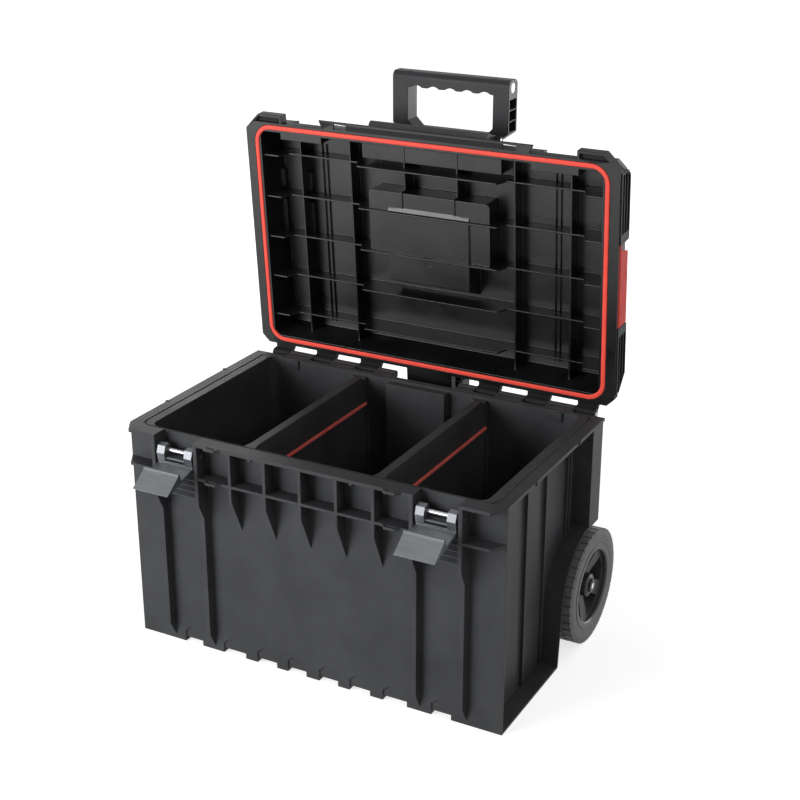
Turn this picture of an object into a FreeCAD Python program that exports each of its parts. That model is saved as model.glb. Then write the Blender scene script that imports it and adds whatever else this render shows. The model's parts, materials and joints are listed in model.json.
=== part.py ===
import FreeCAD, Part
import math
import os

# Rolling storage box, millimetres. The front is -Y, the hinge side +Y, the floor Z = 0.
# The lid stands open on its stop, the clasps hang open and the pull handle is drawn out.

# %% Main sizes of the tub
WIDTH = 585.0          # across the side frames
RIM_TOP = 335.0        # floor to rim
RIM_DEPTH = 352.0      # front lip to the back edge of the rim
BAND = 23.0            # the front band stands this far in front of the wall
BACK_STEP = 6.0        # the back wall lies this far inside the rim
SIDE_RECESS = 29.0     # the side walls lie this far inside the frames
WALL = 3.6
FRAME_T = 3.0          # frames and flanges round the side walls
FLOOR_TOP = 14.0
FLOOR_T = 4.0
LIP_T = 5.0            # rim flange
CORNER = 14.5          # chamfer at the front corners of the rim
INNER_R = 14.0         # inside corners
GROOVE_SIDE = 14.5     # groove in the rim, from the inside of the walls
GROOVE_FRONT = 1.8
GROOVE_BACK = 4.5
GROOVE_W = 2.6
GROOVE_D = 2.0
NUB_FRONT = 87.0       # nubs on the side edges of the rim, from the front wall
NUB_PITCH = 147.0
NUB_W = 4.0
NUB_OUT = 2.0
NUB_UP = 0.8
SINK = 1.0             # joined forms run this far into each other

# %% Front band, ribs, pockets and feet
RIBS = 2               # on each side of the middle one
RIB_T = 5.0
LEDGE_DOWN = 51.0      # heights below the rim
LEDGE_T = 4.0
GUSSET_DOWN = 75.0
GUSSET_L = 54.0
POCKET_SIDE = 90.5     # side frame to the middle of a clasp pocket
POCKET_W = 64.0
POCKET_WALL = 6.0
POCKET_H = 95.0
POCKET_STEP = 23.0
LOW_RIB = 12.0         # tall ribs below the pockets
LOW_RIB_END = 30.0
LOUVRES = 5
LOUVRE_PITCH = 9.0
LOUVRE_OUT = 9.0
EYELET_IN = 31.0       # from the pocket
EYELET_W = 30.0
EYELET_OUT = 7.0
TAB_IN = 20.0          # small tabs under the lip, from a rib
TAB_W = 5.0
TAB_H = 8.0
FOOT_H = 6.5
FOOT_D = 18.0
FOOT_RECESS_TOP = 26.0
FOOT_RECESS = 2.0
NOTCHES = [(10.8, 40.8), (59.7, 92.0), (112.4, 149.5)]
POCKET_NOTCH = 29.5
SKID_W = 21.6          # middle skid under the floor
UNDER_T = 3.0          # ribs under the floor
UNDER_X = 104.0
UNDER_Y = 80.0

# %% Side, wheel and axle
SIDE_RIBS = [118.0, 182.0]   # from the front wall
PAIR_BACK = 71.0       # pair of ribs above the arch, from the rim's back edge
PAIR_PITCH = 9.0
SIDE_RIB_OUT = 5.0
PILLAR_BACK = 43.0
WHEEL_BACK = 39.0
WHEEL_R = 86.0
WHEEL_W = 44.0
WHEEL_OUT = 10.0       # the wheel stands this far outside the frame
ARCH_GAP = 5.5
ARCH_FLARE = 9.0
WELL_GAP = 6.0
RIM_R = 61.0           # tyre seat
BEAD = 2.0
SHOULDER = 10.0
TREADS = 40
TREAD_W = 5.0
TREAD_D = 3.0
TREAD_L = 11.0
RIM_T = 5.0
RING_W = 7.0
HUB_R = 16.0
HUB_SINK = 4.0         # depths below the outer face of the wheel
HUB_EDGE = 3.0
DISH_HUB = 18.0
DISH_RING = 8.0
WEB_BACK = 26.0
HUB_IN = 1.0
SPOKES = 5
SPOKE_HUB = 6.0        # windows keep this far from the hub and the ring
SPOKE_RING = 8.5
WINDOW_HUB = 0.24      # half angles of a window
WINDOW_RING = 0.40
AXLE_R = 6.0
AXLE_END = 1.0
CLIP_GAP = 0.5         # retaining ring
CLIP_T = 2.0
CLIP_H = 4.0
BOSS_R = 16.0
BOSS_L = 10.0
BOSS_END = 3.0         # closed inner end of the axle boss
RUN = 0.08             # radial running clearance
FIT = 0.05             # radial clearance of fixed pins

# %% Hinge
HINGE_OUT = 17.0       # rods behind the rim and below its top
HINGE_DOWN = 4.5
KNUCKLE_R = 7.0
KNUCKLE_WEB = 30.0
HINGE_ROD_R = 2.8
HINGE_IN = 54.0        # inner end of the knuckles
KNUCKLE_L = 29.0
ARM_W = 36.0
ARM_LAST = 31.0
ARM_END = 20.5         # last arm from the side frame
ARM_GAP = 0.5

# %% Lid
LID_OPEN = 85.72       # degrees
LID_GAP = 1.5          # lid face above the rim
LID_H = 50.0
LID_T = 3.0
LID_SIDE = 4.5         # the lid reaches past the tub
LID_OVER = 3.0
LID_BEHIND = 4.5
LID_CORNER = 12.0
LID_TAPER = 9.0
LID_FLANGE = 13.0
SEAL_SIDE = 18.1       # middle of the seal, from the lid's edges
SEAL_FRONT_IN = 7.6
SEAL_BACK_IN = 9.0
SEAL_W = 7.0
SEAL_H = 4.6
SEAL_SINK = 3.6
SEAL_R = 24.0
SEAL_FIT = 0.1
COL_BOX = 34.5         # lengthwise ribs, from the centre box and from the side
COL_SIDE = 79.0
ROWS = 5
ROW_FRONT = 44.9       # end rows, from the seal
ROW_BACK = 40.0
LID_RIB_T = 2.5
LID_RIB_DROP = 22.0    # rib edges lie this deep inside the lid
ROW_HIGH = 5.0         # raised ends of the cross ribs
ROW_BOX = 14.0
TIER_RIB = 42.5        # two short ribs that climb over the centre box
TIER_RIB_UP = 2.0
STEP_L = 30.0          # step inside the front wall
STEP_DROP = 23.0
ROW_SIDE = 26.0
ROW_SLOPE = 8.0
STRIP_SIDE = [82.0, 34.0]    # raised strips on the skin, from the side
STRIP_SPANS = [(30.0, 59.0), (78.0, 131.0)]   # behind the front row
STRIP_W = 9.0
STRIP_H = 9.0
SEAM_END = 15.0
SEAM_SIDE = [103.5, 111.0]   # low beads on the skin
SEAM_W = 1.5
SEAM_H = 3.0
BOX_BASE = 98.0        # raised centre box, half width
BOX_L = 96.0
BOX_BACK = 176.5
BOX_DEPTH = 12.5       # its face lies this deep inside the lid
BOX_R = 6.0
PLATE_X = 66.0         # thick plate on the box, half width
PLATE_IN = 22.0        # behind the box's front end
PLATE_EDGE = 9.0
PLATE_L = 114.0
PLATE_SLOPE = 17.0
PLATE_DEPTH = 9.0
GATE_Y = 6.0           # round moulding mark on the plate
GATE_R = 8.5
GATE_NUB = 1.8
GATE_D = 0.8
BRACKET_OUT = 11.5     # ledge on the front edge
BRACKET_H = 4.0
BRACKET_WALL = 3.0
SLOT_IN = 35.5         # middle of a slot, from the clasp pocket
SLOT_W = 21.0
SLOT_D = 8.0
BLOCK_H = 15.0         # corner blocks
BLOCK_SIDE = 23.0
BLOCK_WALL = 4.0
BLOCK_D = 5.0
SEAT_D = 24.0          # recesses for the clasps
SIDE_OUT = 1.5         # side brackets
SIDE_LOW = 3.5
SIDE_H = 32.5
SIDE_WALL = 2.5
SIDE_DEEP = 4.0
SIDE_CELLS = 3         # lengthwise channels
SIDE_SEAT = 14.0       # solid end that holds the catch pin
SIDE_FRONT = 15.0      # free ends, from the lid's front and back
SIDE_BACK = 18.5
SIDE_CUT = 8.0         # their corners
SIDE_SLOPE = 22.0
CATCH_OFF = -1.75      # middle of a catch, from the middle of the lid
CATCH_L = 122.0
CATCH_GAP = 0.8
CATCH_LOW = 3.0        # flange left under a catch
CATCH_ROOT = 4.0       # rounded root
CATCH_IN = 3.0         # pin inside the lid's edge
CATCH_UP = 7.5
CATCH_T = 3.0
CATCH_OUT = 1.0
CATCH_H = 34.5
CATCH_STEP = 7.0       # finger gap at the front end
CATCH_SLOPE = 9.0
CATCH_CLEAR = 0.7
CATCH_PIN_R = 2.0
CATCH_PIN_IN = 11.0
LUG_X = 38.0           # stop lug at the middle of the lid's back edge
LUG_OUT = 12.0
STOP_GAP = 0.2
RAIL_IN = 40.0         # stacking rails on the outside
RAIL_BOX = 22.0
RAIL_W = 12.0
RAIL_H = 3.0

# %% Carry handle
CARRY_X = 94.0
CARRY_ARM = 10.0
CARRY_BAR = 14.0
CARRY_OUT = 0.0        # pivot in front of the lid's edge
CARRY_UP = 41.5        # pivot above the lid face
CARRY_DROP = 14.0
CARRY_EYE = 6.0
CARRY_PIN_R = 2.5
CARRY_LUG = 9.0
CARRY_ROOT = 10.0

# %% Clasps
CLASP_W = 58.0
CLASP_GAP = 32.0
CLASP_IN = 11.0        # pin behind the lip and below the rim
CLASP_DOWN = 23.0
CLASP_OPEN = 102.0     # degrees
CLASP_PIN_R = 3.2
CLASP_BAR_R = 2.8
BAR_OUT = 9.0
BAR_UP = 7.5
BAR_SEAT = 6.0
CLASP_T = 4.0
CLASP_OUT = 15.0       # plate in front of the pin
CLASP_BACK = 9.5
CLASP_FOOT = 6.5
CLASP_HEAD = 12.0
CLASP_EDGE = 3.0
HOOK_GAP = 2.8         # hook above the lid's flange
HOOK_T = 6.5
HOOK_REACH = 11.0
HOOK_SLOPE = 0.8
FLARE_UP = 16.0
FLARE_OUT = 1.0
FLARE_RISE = 16.0
FLARE_T = 2.5

# %% Dividers
DIV_X = 101.0
DIV_DOWN = 5.0
DIV_RAIL = 13.0
DIV_W = 23.0
DIV_STEP_DOWN = 38.0
DIV_T = 2.5
DIV_GAP = 0.4
GUIDE_T = 3.0
GUIDE_OUT = 5.0
GUIDE_DOWN = 14.0      # guides end below the strips
TRIM_T = 3.0
TRIM_H = 4.5
TRIM_DOWN = 3.0
TRIM_FRONT = 20.0
TRIM_BACK = 7.5
REST_SIDE = 71.5       # tray rests on the back wall
REST_W = 20.0
REST_H = 18.0
REST_OUT = 4.0

# %% Bump, housing, mast and grip
BUMP_X = 49.0
BUMP_D = 14.0
BUMP_DROP = 4.0
MAST_OUT = 96.0        # mast behind the rim
OUTER_W = 46.0
OUTER_D = 22.0
TUBE_T = 2.5
TUBE_R = 2.5
SLIDE_GAP = 0.5
HOUSING_W = 54.0
HOUSING_D = 32.0
HOUSING_R = 5.0
HOUSING_DOWN = 23.0
HOUSING_LOW = 88.0
HOUSING_FLOOR = 3.0
SPINE_X = 60.0
SPINE_DOWN = 35.0
SPINE_T = 4.0
SPINE_TAPER = 12.0
GUSSETS = 5
GUSSET_T = 3.0
GUSSET_LOW = 22.0
GUSSET_HIGH = 6.0
PAD_IN = 20.0          # pad under the lid's stop lug
PAD_L = 22.0
MOUNT_X = 38.0
MOUNTS = [0.5, 2.5, 3.5]     # screw rows, in gusset spaces
SCREW_R = 2.0
SCREW_L = 12.0
SCREW_END = 1.0
HEAD_R = 4.5
HEAD_H = 3.0
CROSS_L = 2.4
CROSS_W = 0.5
STAGE_IN = 32.0        # the outer tube stays this far in the housing
STAGE_L = 235.0
INNER_IN = 65.0        # and the inner tube in the outer one
COLLAR_H = 18.0
COLLAR_T = 4.0
COLLAR_TOP = 3.0
SHOE_H = 14.0
SHOE_T = 2.0
SHOE_WALL = 4.0
GRIP_TOP = 779.0
GRIP_H = 121.0
GRIP_SIDE_H = 76.0     # straight sides
GRIP_OPEN = 82.0       # top to the foot of the hand opening
GRIP_W = 187.0
GRIP_D = 30.0
GRIP_R = 9.0           # long edges of the bar
GRIP_LEG = 25.0
GRIP_BAR = 22.0
GRIP_NECK = 32.0
GRIP_SLOPE = 12.0
FINGERS = 2            # scallops on each side of the middle one
SOCKET_ROOF = 5.0
CELLS = 3
CELL_WALL = 4.0
CELL_RIB = 2.0
RING_CUT = 1.6
RING_DEEP = 1.2
PLUG_R = 7.0
PLUG_H = 16.0
PLUG_T = 2.6
PLUG_SINK = 0.4

# %% Sizes that follow from the ones above
HALF = WIDTH / 2
LIP = -RIM_DEPTH / 2
RIM_BACK = RIM_DEPTH / 2
FRONT = LIP + BAND
BACK = RIM_BACK - BACK_STEP
SIDE = HALF - SIDE_RECESS
IN_X = SIDE - WALL
IN_FRONT = FRONT + WALL
IN_BACK = BACK - WALL
LEDGE_Z = RIM_TOP - LEDGE_DOWN
GUSSET_TOP = RIM_TOP - GUSSET_DOWN
GUSSET_TIP = GUSSET_TOP - GUSSET_L
POCKET_X = HALF - POCKET_SIDE
POCKET_IN = POCKET_X - POCKET_W / 2
POCKET_END = POCKET_X + POCKET_W / 2
POCKET_LOW = RIM_TOP - POCKET_H
RIB_PITCH = (POCKET_IN - POCKET_WALL / 2) / (RIBS + 1)
EYELET_X = POCKET_IN - EYELET_IN
PILLAR_Y = RIM_BACK - PILLAR_BACK
WHEEL_Y = RIM_BACK - WHEEL_BACK
WHEEL_Z = WHEEL_R
WHEEL_FACE = HALF + WHEEL_OUT
WELL_X = WHEEL_FACE - WHEEL_W - WELL_GAP
AXLE_SEAT = WELL_X - WALL - BOSS_L + BOSS_END
ARCH_R = WHEEL_R + ARCH_GAP
HINGE_Y = RIM_BACK + HINGE_OUT
HINGE_Z = RIM_TOP - HINGE_DOWN
HINGE_END = HALF - ARM_END
WINDOW = (HINGE_END - HINGE_IN - KNUCKLE_L - 2 * ARM_W - ARM_LAST) / 2
ARM_1 = HINGE_IN + KNUCKLE_L
ARM_2 = ARM_1 + ARM_W + WINDOW
LID_ARMS = [(ARM_1, ARM_1 + ARM_W), (ARM_2, ARM_2 + ARM_W), (HINGE_END - ARM_LAST, HINGE_END)]
LID_LOW = RIM_TOP + LID_GAP
LID_TOP = LID_LOW + LID_H
LID_SKIN = LID_TOP - LID_T
FLANGE_TOP = LID_LOW + LID_FLANGE
LID_HALF = HALF + LID_SIDE
LID_FRONT = LIP - LID_OVER
LID_BACK = RIM_BACK + LID_BEHIND
SEAL_X = LID_HALF - SEAL_SIDE
SEAL_FRONT = LID_FRONT + SEAL_FRONT_IN
SEAL_BACK = LID_BACK - SEAL_BACK_IN
ROW_PITCH = (SEAL_BACK - SEAL_FRONT - ROW_FRONT - ROW_BACK) / (ROWS - 1)
LID_ROWS = [SEAL_BACK - ROW_BACK - i * ROW_PITCH for i in range(ROWS)]
BOX_Y1 = LID_BACK - BOX_BACK
BOX_Y0 = BOX_Y1 - BOX_L
PLATE_Y0 = BOX_Y0 + PLATE_IN
CATCH_Y = (LID_FRONT + LID_BACK) / 2 + CATCH_OFF
CATCH_Y0 = CATCH_Y - CATCH_L / 2
CATCH_Y1 = CATCH_Y + CATCH_L / 2
CATCH_X = LID_HALF - CATCH_IN
CATCH_Z = LID_LOW + CATCH_UP
CARRY_Y = LID_FRONT - CARRY_OUT
CARRY_Z = LID_LOW + CARRY_UP
CLASP_Y = LIP + CLASP_IN
CLASP_Z = RIM_TOP - CLASP_DOWN
HOOK_UP = FLANGE_TOP + HOOK_GAP - CLASP_Z
DIV_TOP = RIM_TOP - DIV_DOWN
DIV_STEP = DIV_TOP - DIV_STEP_DOWN
TRIM_Z = DIV_STEP - TRIM_DOWN
INNER_W = OUTER_W - 2 * (TUBE_T + SLIDE_GAP)
INNER_D = OUTER_D - 2 * (TUBE_T + SLIDE_GAP)
MAST_Y = RIM_BACK + MAST_OUT
HOUSING_TOP = RIM_TOP - HOUSING_DOWN
SPINE_TOP = RIM_TOP - SPINE_DOWN
GUSSET_Z = HOUSING_LOW + GUSSET_LOW
GUSSET_PITCH = (SPINE_TOP - GUSSET_HIGH - GUSSET_Z) / (GUSSETS - 1)
MOUNT_Z = [GUSSET_Z + k * GUSSET_PITCH for k in MOUNTS]
STAGE_LOW = HOUSING_TOP - STAGE_IN
STAGE_TOP = STAGE_LOW + STAGE_L
INNER_LOW = STAGE_TOP - INNER_IN
GRIP_LOW = GRIP_TOP - GRIP_H
GRIP_SIDE = GRIP_TOP - GRIP_SIDE_H
GRIP_GAP = GRIP_TOP - GRIP_OPEN
SOCKET_TOP = GRIP_GAP - SOCKET_ROOF
GRIP_SCREW_Z = (GRIP_LOW + SOCKET_TOP) / 2
GRIP_WALL = (GRIP_D - INNER_D) / 2
FAR = 2 * (WIDTH + GRIP_TOP)


# %% Small helpers
def vec(x, y, z):
    return FreeCAD.Vector(x, y, z)


def box(x0, x1, y0, y1, z0, z1):
    return Part.makeBox(x1 - x0, y1 - y0, z1 - z0, vec(x0, y0, z0))


def face(points):
    return Part.Face(Part.makePolygon(points + points[:1]))


def prism_x(points, x0, x1):
    return face([vec(x0, y, z) for y, z in points]).extrude(vec(x1 - x0, 0, 0))


def prism_y(points, y0, y1):
    return face([vec(x, y0, z) for x, z in points]).extrude(vec(0, y1 - y0, 0))


def prism_z(points, z0, z1):
    return face([vec(x, y, z0) for x, y in points]).extrude(vec(0, 0, z1 - z0))


def rod_x(x0, x1, y, z, r):
    return Part.makeCylinder(r, x1 - x0, vec(x0, y, z), vec(1, 0, 0))


def rod_y(y0, y1, x, z, r):
    return Part.makeCylinder(r, y1 - y0, vec(x, y0, z), vec(0, 1, 0))


def mirrored(shape):
    return shape.mirror(vec(0, 0, 0), vec(1, 0, 0))


def both(shapes):
    return shapes + [mirrored(s) for s in shapes]


def join(shapes):
    return shapes[0].fuse(shapes[1:]).removeSplitter()


def round_edges(shape, radius, direction, low=-FAR):
    """Fillet the straight edges that run along one axis above a given height."""
    edges = []
    for e in shape.Edges:
        along = abs(abs(e.tangentAt(e.FirstParameter).dot(direction)) - 1) < 1e-6
        if along and e.CenterOfMass.z > low:
            edges.append(e)
    return shape.makeFillet(radius, edges)


def round_box(x0, x1, y0, y1, z0, z1, radius):
    return round_edges(box(x0, x1, y0, y1, z0, z1), radius, vec(0, 0, 1))


def loft(low, z0, high, z1):
    wires = []
    for points, z in ((low, z0), (high, z1)):
        wires.append(Part.makePolygon([vec(x, y, z) for x, y in points + points[:1]]))
    return Part.makeLoft(wires, True, True)


def rect(x, y0, y1):
    return [(-x, y0), (x, y0), (x, y1), (-x, y1)]


def save(node, shape):
    """A node is one solid, or a group of equal solids."""
    solids = shape.Solids
    out = solids[0] if len(solids) == 1 else Part.makeCompound(solids)
    out.exportStep("parts/" + node + ".step")
    print(node, len(solids), "solids", len(out.Faces), "faces", out.isValid())


# %% Tub: wheel arches and inside
def arch(grow, x0, x1):
    """Space round a wheel: flared front edge, quarter circle, flat top to the back."""
    r = ARCH_R + grow
    c = math.sqrt(0.5) * r
    foot = vec(x0, WHEEL_Y - r - ARCH_FLARE, -SINK)
    start = vec(x0, WHEEL_Y - r, WHEEL_Z)
    middle = vec(x0, WHEEL_Y - c, WHEEL_Z + c)
    top = vec(x0, WHEEL_Y, WHEEL_Z + r)
    back = vec(x0, FAR, WHEEL_Z + r)
    low = vec(x0, FAR, -SINK)
    edges = [Part.LineSegment(foot, start).toShape()]
    edges.append(Part.Arc(start, middle, top).toShape())
    edges.append(Part.LineSegment(top, back).toShape())
    edges.append(Part.LineSegment(back, low).toShape())
    edges.append(Part.LineSegment(low, foot).toShape())
    return Part.Face(Part.Wire(edges)).extrude(vec(x1 - x0, 0, 0))


def arch_flange():
    grown = arch(FRAME_T, SIDE - WALL, HALF)
    keep = box(0, HALF, FRONT, BACK, 0, RIM_TOP)
    return grown.cut(arch(0, 0, FAR)).common(keep)


def cavity():
    """Inside of the tub, less the wheel wells, axle bosses and the bump on the back wall."""
    room = round_box(-IN_X, IN_X, IN_FRONT, IN_BACK, FLOOR_TOP, RIM_TOP + SINK, INNER_R)
    well = arch(WALL, WELL_X - WALL, FAR)
    boss = rod_x(WELL_X - WALL - BOSS_L, WELL_X, WHEEL_Y, WHEEL_Z, BOSS_R)
    bump = box(-BUMP_X, BUMP_X, IN_BACK - BUMP_D, BACK, 0, RIM_TOP - BUMP_DROP)
    return room.cut(both([well, boss]) + [bump])


def guides():
    """Slots that hold the dividers, on the front and back walls."""
    parts = []
    for s in (-1, 1):
        x = DIV_X + s * (DIV_W / 2 + DIV_GAP + GUIDE_T / 2)
        for y0, y1 in ((IN_FRONT - SINK, IN_FRONT + GUIDE_OUT), (IN_BACK - GUIDE_OUT, IN_BACK + SINK)):
            top = TRIM_Z - GUIDE_DOWN
            parts.append(box(x - GUIDE_T / 2, x + GUIDE_T / 2, y0, y1, FLOOR_TOP - SINK, top))
    return both(parts)


def tray_rests():
    """Small sloped rests high on the back wall."""
    x, z = HALF - REST_SIDE, RIM_TOP - SINK
    side = [(IN_BACK + SINK, z), (IN_BACK - REST_OUT, z), (IN_BACK - REST_OUT, z - REST_H / 2),
            (IN_BACK, z - REST_H), (IN_BACK + SINK, z - REST_H)]
    return both([prism_x(side, x - REST_W / 2, x + REST_W / 2)])


# %% Tub: outside
def band_outline(x0, x1):
    return [(x0, FRONT + SINK), (x0, LIP), (x1, LIP), (x1, FRONT + SINK)]


def corner_outline():
    return [(POCKET_END, FRONT + SINK), (POCKET_END, LIP), (HALF - CORNER, LIP), (HALF, FRONT),
            (HALF, FRONT + SINK)]


def band_plates(top, low):
    middle = prism_z(band_outline(-POCKET_IN, POCKET_IN), low, top)
    return [middle] + both([prism_z(corner_outline(), low, top)])


def rim():
    """Flange round the opening, with the band's lips in front and nubs at the sides."""
    low = RIM_TOP - LIP_T
    nubs = []
    for i in (0, 1):
        y = FRONT + NUB_FRONT + i * NUB_PITCH
        nubs.append(box(HALF - NUB_W, HALF + NUB_OUT, y - NUB_W / 2, y + NUB_W / 2, low, RIM_TOP + NUB_UP))
    return [box(-HALF, HALF, FRONT, RIM_BACK, low, RIM_TOP)] + band_plates(RIM_TOP, low) + both(nubs)


def rim_groove():
    """Fine groove that runs round the opening."""
    x, y0, y1 = IN_X + GROOVE_SIDE, IN_FRONT - GROOVE_FRONT, IN_BACK + GROOVE_BACK
    z0, z1, w = RIM_TOP - GROOVE_D, RIM_TOP + GROOVE_D, GROOVE_W / 2
    outer = round_box(-x - w, x + w, y0 - w, y1 + w, z0, z1, INNER_R + w)
    return outer.cut(round_box(w - x, x - w, y0 + w, y1 - w, z0, z1, INNER_R - w))


def band_rib(x):
    side = [(FRONT + SINK, RIM_TOP), (LIP, RIM_TOP), (LIP, GUSSET_TOP), (FRONT, GUSSET_TIP),
            (FRONT + SINK, GUSSET_TIP)]
    return prism_x(side, x - RIB_T / 2, x + RIB_T / 2)


def lip_tab():
    x = RIB_PITCH + TAB_IN
    return box(x, x + TAB_W, LIP, LIP + LIP_T, RIM_TOP - TAB_H, RIM_TOP - SINK)


def pocket_wall(x0):
    """Side of a clasp pocket, stepping back to a tall rib that runs to the foot."""
    rib = FRONT - LOW_RIB
    side = [(FRONT + SINK, RIM_TOP), (LIP, RIM_TOP), (LIP, POCKET_LOW), (rib, POCKET_LOW - POCKET_STEP),
            (rib, LOW_RIB_END), (FRONT, FOOT_H), (FRONT + SINK, FOOT_H)]
    return prism_x(side, x0, x0 + POCKET_WALL)


def louvres():
    """Saw-tooth pad between the pocket walls, under the clasp."""
    side = [(FRONT + SINK, POCKET_LOW)]
    back = FRONT - LOUVRE_OUT / 3
    for i in range(LOUVRES):
        z = POCKET_LOW + i * LOUVRE_PITCH
        side.append((back, z))
        side.append((FRONT - LOUVRE_OUT, z + LOUVRE_PITCH * 0.3))
        side.append((FRONT - LOUVRE_OUT, z + LOUVRE_PITCH * 0.45))
    top = POCKET_LOW + LOUVRES * LOUVRE_PITCH
    side += [(back, top), (FRONT + SINK, top)]
    return prism_x(side, POCKET_IN - SINK, POCKET_END + SINK)


def eyelet(top):
    """Flat loop in front of the lip or the ledge."""
    half = EYELET_W / 2
    plan = [(EYELET_X - half, LIP + SINK), (EYELET_X - half + EYELET_OUT, LIP - EYELET_OUT),
            (EYELET_X + half - EYELET_OUT, LIP - EYELET_OUT), (EYELET_X + half, LIP + SINK)]
    slot = box(EYELET_X - half / 2, EYELET_X + half / 2, LIP - EYELET_OUT * 0.6, LIP - SINK / 2, 0, FAR)
    return prism_z(plan, top - LEDGE_T, top).cut(slot)


def front():
    parts = [box(-HALF, HALF, FRONT, IN_FRONT, 0, RIM_TOP)]
    parts.append(box(-SIDE, SIDE, FRONT, FRONT + FOOT_D, 0, FLOOR_TOP))
    parts += [band_rib(i * RIB_PITCH) for i in range(-RIBS, RIBS + 1)]
    parts += both([pocket_wall(POCKET_IN - POCKET_WALL), pocket_wall(POCKET_END), louvres()])
    parts += both([eyelet(RIM_TOP), eyelet(LEDGE_Z), lip_tab()])
    return parts


def side():
    """Frame round the right side wall: ribs, bottom ledge, arch flange and rear pillar."""
    rows = [FRONT + y for y in SIDE_RIBS]
    rows += [RIM_BACK - PAIR_BACK, RIM_BACK - PAIR_BACK + PAIR_PITCH]
    parts = [box(SIDE - SINK, SIDE + SIDE_RIB_OUT, y, y + FRAME_T, 0, RIM_TOP - SINK) for y in rows]
    parts.append(box(SIDE - SINK, HALF, FRONT, WHEEL_Y - ARCH_R - ARCH_FLARE, 0, FRAME_T))
    parts.append(arch_flange())
    low = WHEEL_Z + ARCH_R
    pillar = box(SIDE - SINK, HALF, PILLAR_Y, BACK, low, RIM_TOP - SINK)
    inside = box(SIDE, HALF - FRAME_T, PILLAR_Y + FRAME_T, FAR, low + FRAME_T, RIM_TOP - LIP_T)
    parts.append(pillar.cut(inside))
    return parts


def underside():
    """Ribs and a middle skid below the floor."""
    t, top, y = UNDER_T / 2, FLOOR_TOP - SINK, (FRONT + BACK) / 2
    parts = []
    for i in (-1.5, -0.5, 0.5, 1.5):
        parts.append(box(i * UNDER_X - t, i * UNDER_X + t, FRONT + SINK, BACK - SINK, FOOT_H, top))
    for i in (-1, 0, 1):
        parts.append(box(-IN_X - SINK, IN_X + SINK, y + i * UNDER_Y - t, y + i * UNDER_Y + t, FOOT_H, top))
    parts.append(box(-SKID_W / 2, SKID_W / 2, FRONT + SINK, BACK - SINK, 0, top))
    return parts


def tub_knuckles():
    """Barrels on the back rim, between the lid's arms."""
    ends = [HINGE_IN]
    for a, b in LID_ARMS:
        ends += [a - ARM_GAP, b + ARM_GAP]
    web = [(BACK - SINK, RIM_TOP - KNUCKLE_WEB), (HINGE_Y, HINGE_Z - KNUCKLE_R), (HINGE_Y, RIM_TOP),
           (BACK - SINK, RIM_TOP)]
    parts = []
    for x0, x1 in zip(ends[0::2], ends[1::2]):
        parts.append(prism_x(web, x0, x1))
        parts.append(rod_x(x0, x1, HINGE_Y, HINGE_Z, KNUCKLE_R))
    return both(parts)


def back_bosses():
    return both([rod_y(IN_BACK - BUMP_D, BACK, MOUNT_X, z, 1.5 * HEAD_R) for z in MOUNT_Z])


def foot_cuts():
    """Notches between the feet, and the shallow recess above each."""
    cuts = []
    spans = NOTCHES + [(POCKET_X - POCKET_NOTCH / 2, POCKET_X + POCKET_NOTCH / 2)]
    for a, b in spans:
        r = (b - a) / 2
        y0, y1 = FRONT - SINK, FRONT + FOOT_RECESS
        cuts.append(box(a, b, y0, FRONT + FOOT_D + SINK, -SINK, FOOT_H))
        cuts.append(box(a, b, y0, y1, -SINK, FOOT_RECESS_TOP - r / 2))
        top = rod_y(y0, y1, (a + b) / 2, FOOT_RECESS_TOP - r, r)
        cuts.append(top.common(box(a, b, -FAR, FAR, FOOT_RECESS_TOP - r, FAR)))
    return both(cuts)


def tub_bores():
    bores = [rod_x(0, FAR, HINGE_Y, HINGE_Z, HINGE_ROD_R + FIT)]
    w = 2 * POCKET_WALL
    bores.append(rod_x(POCKET_IN - w, POCKET_END + w, CLASP_Y, CLASP_Z, CLASP_PIN_R + FIT))
    bores.append(rod_x(AXLE_SEAT, WELL_X + SINK, WHEEL_Y, WHEEL_Z, AXLE_R + FIT))
    bores += [rod_y(BACK - SCREW_L, FAR, MOUNT_X, z, SCREW_R + FIT) for z in MOUNT_Z]
    return both(bores)


def tub():
    shell = box(-SIDE, SIDE, FRONT, BACK, 0, RIM_TOP)
    body = join([shell] + rim() + band_plates(LEDGE_Z, LEDGE_Z - LEDGE_T) + front() + both(side())
                + tub_knuckles())
    hollow = box(-IN_X, IN_X, FRONT + FOOT_D, IN_BACK, -SINK, FLOOR_TOP - FLOOR_T)
    recess = box(WALL - BUMP_X, BUMP_X - WALL, IN_BACK - BUMP_D + WALL, FAR, FLOOR_TOP, HOUSING_TOP - LIP_T)
    wells = both([arch(0, WELL_X, FAR)])
    body = body.cut([cavity(), hollow, recess.cut(back_bosses()), rim_groove()] + wells + foot_cuts())
    ribs = [r.cut(both([arch(WALL, WELL_X - WALL, FAR)])) for r in underside()]
    body = body.fuse(ribs + guides() + tray_rests())
    return body.cut(tub_bores()).removeSplitter()


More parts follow.
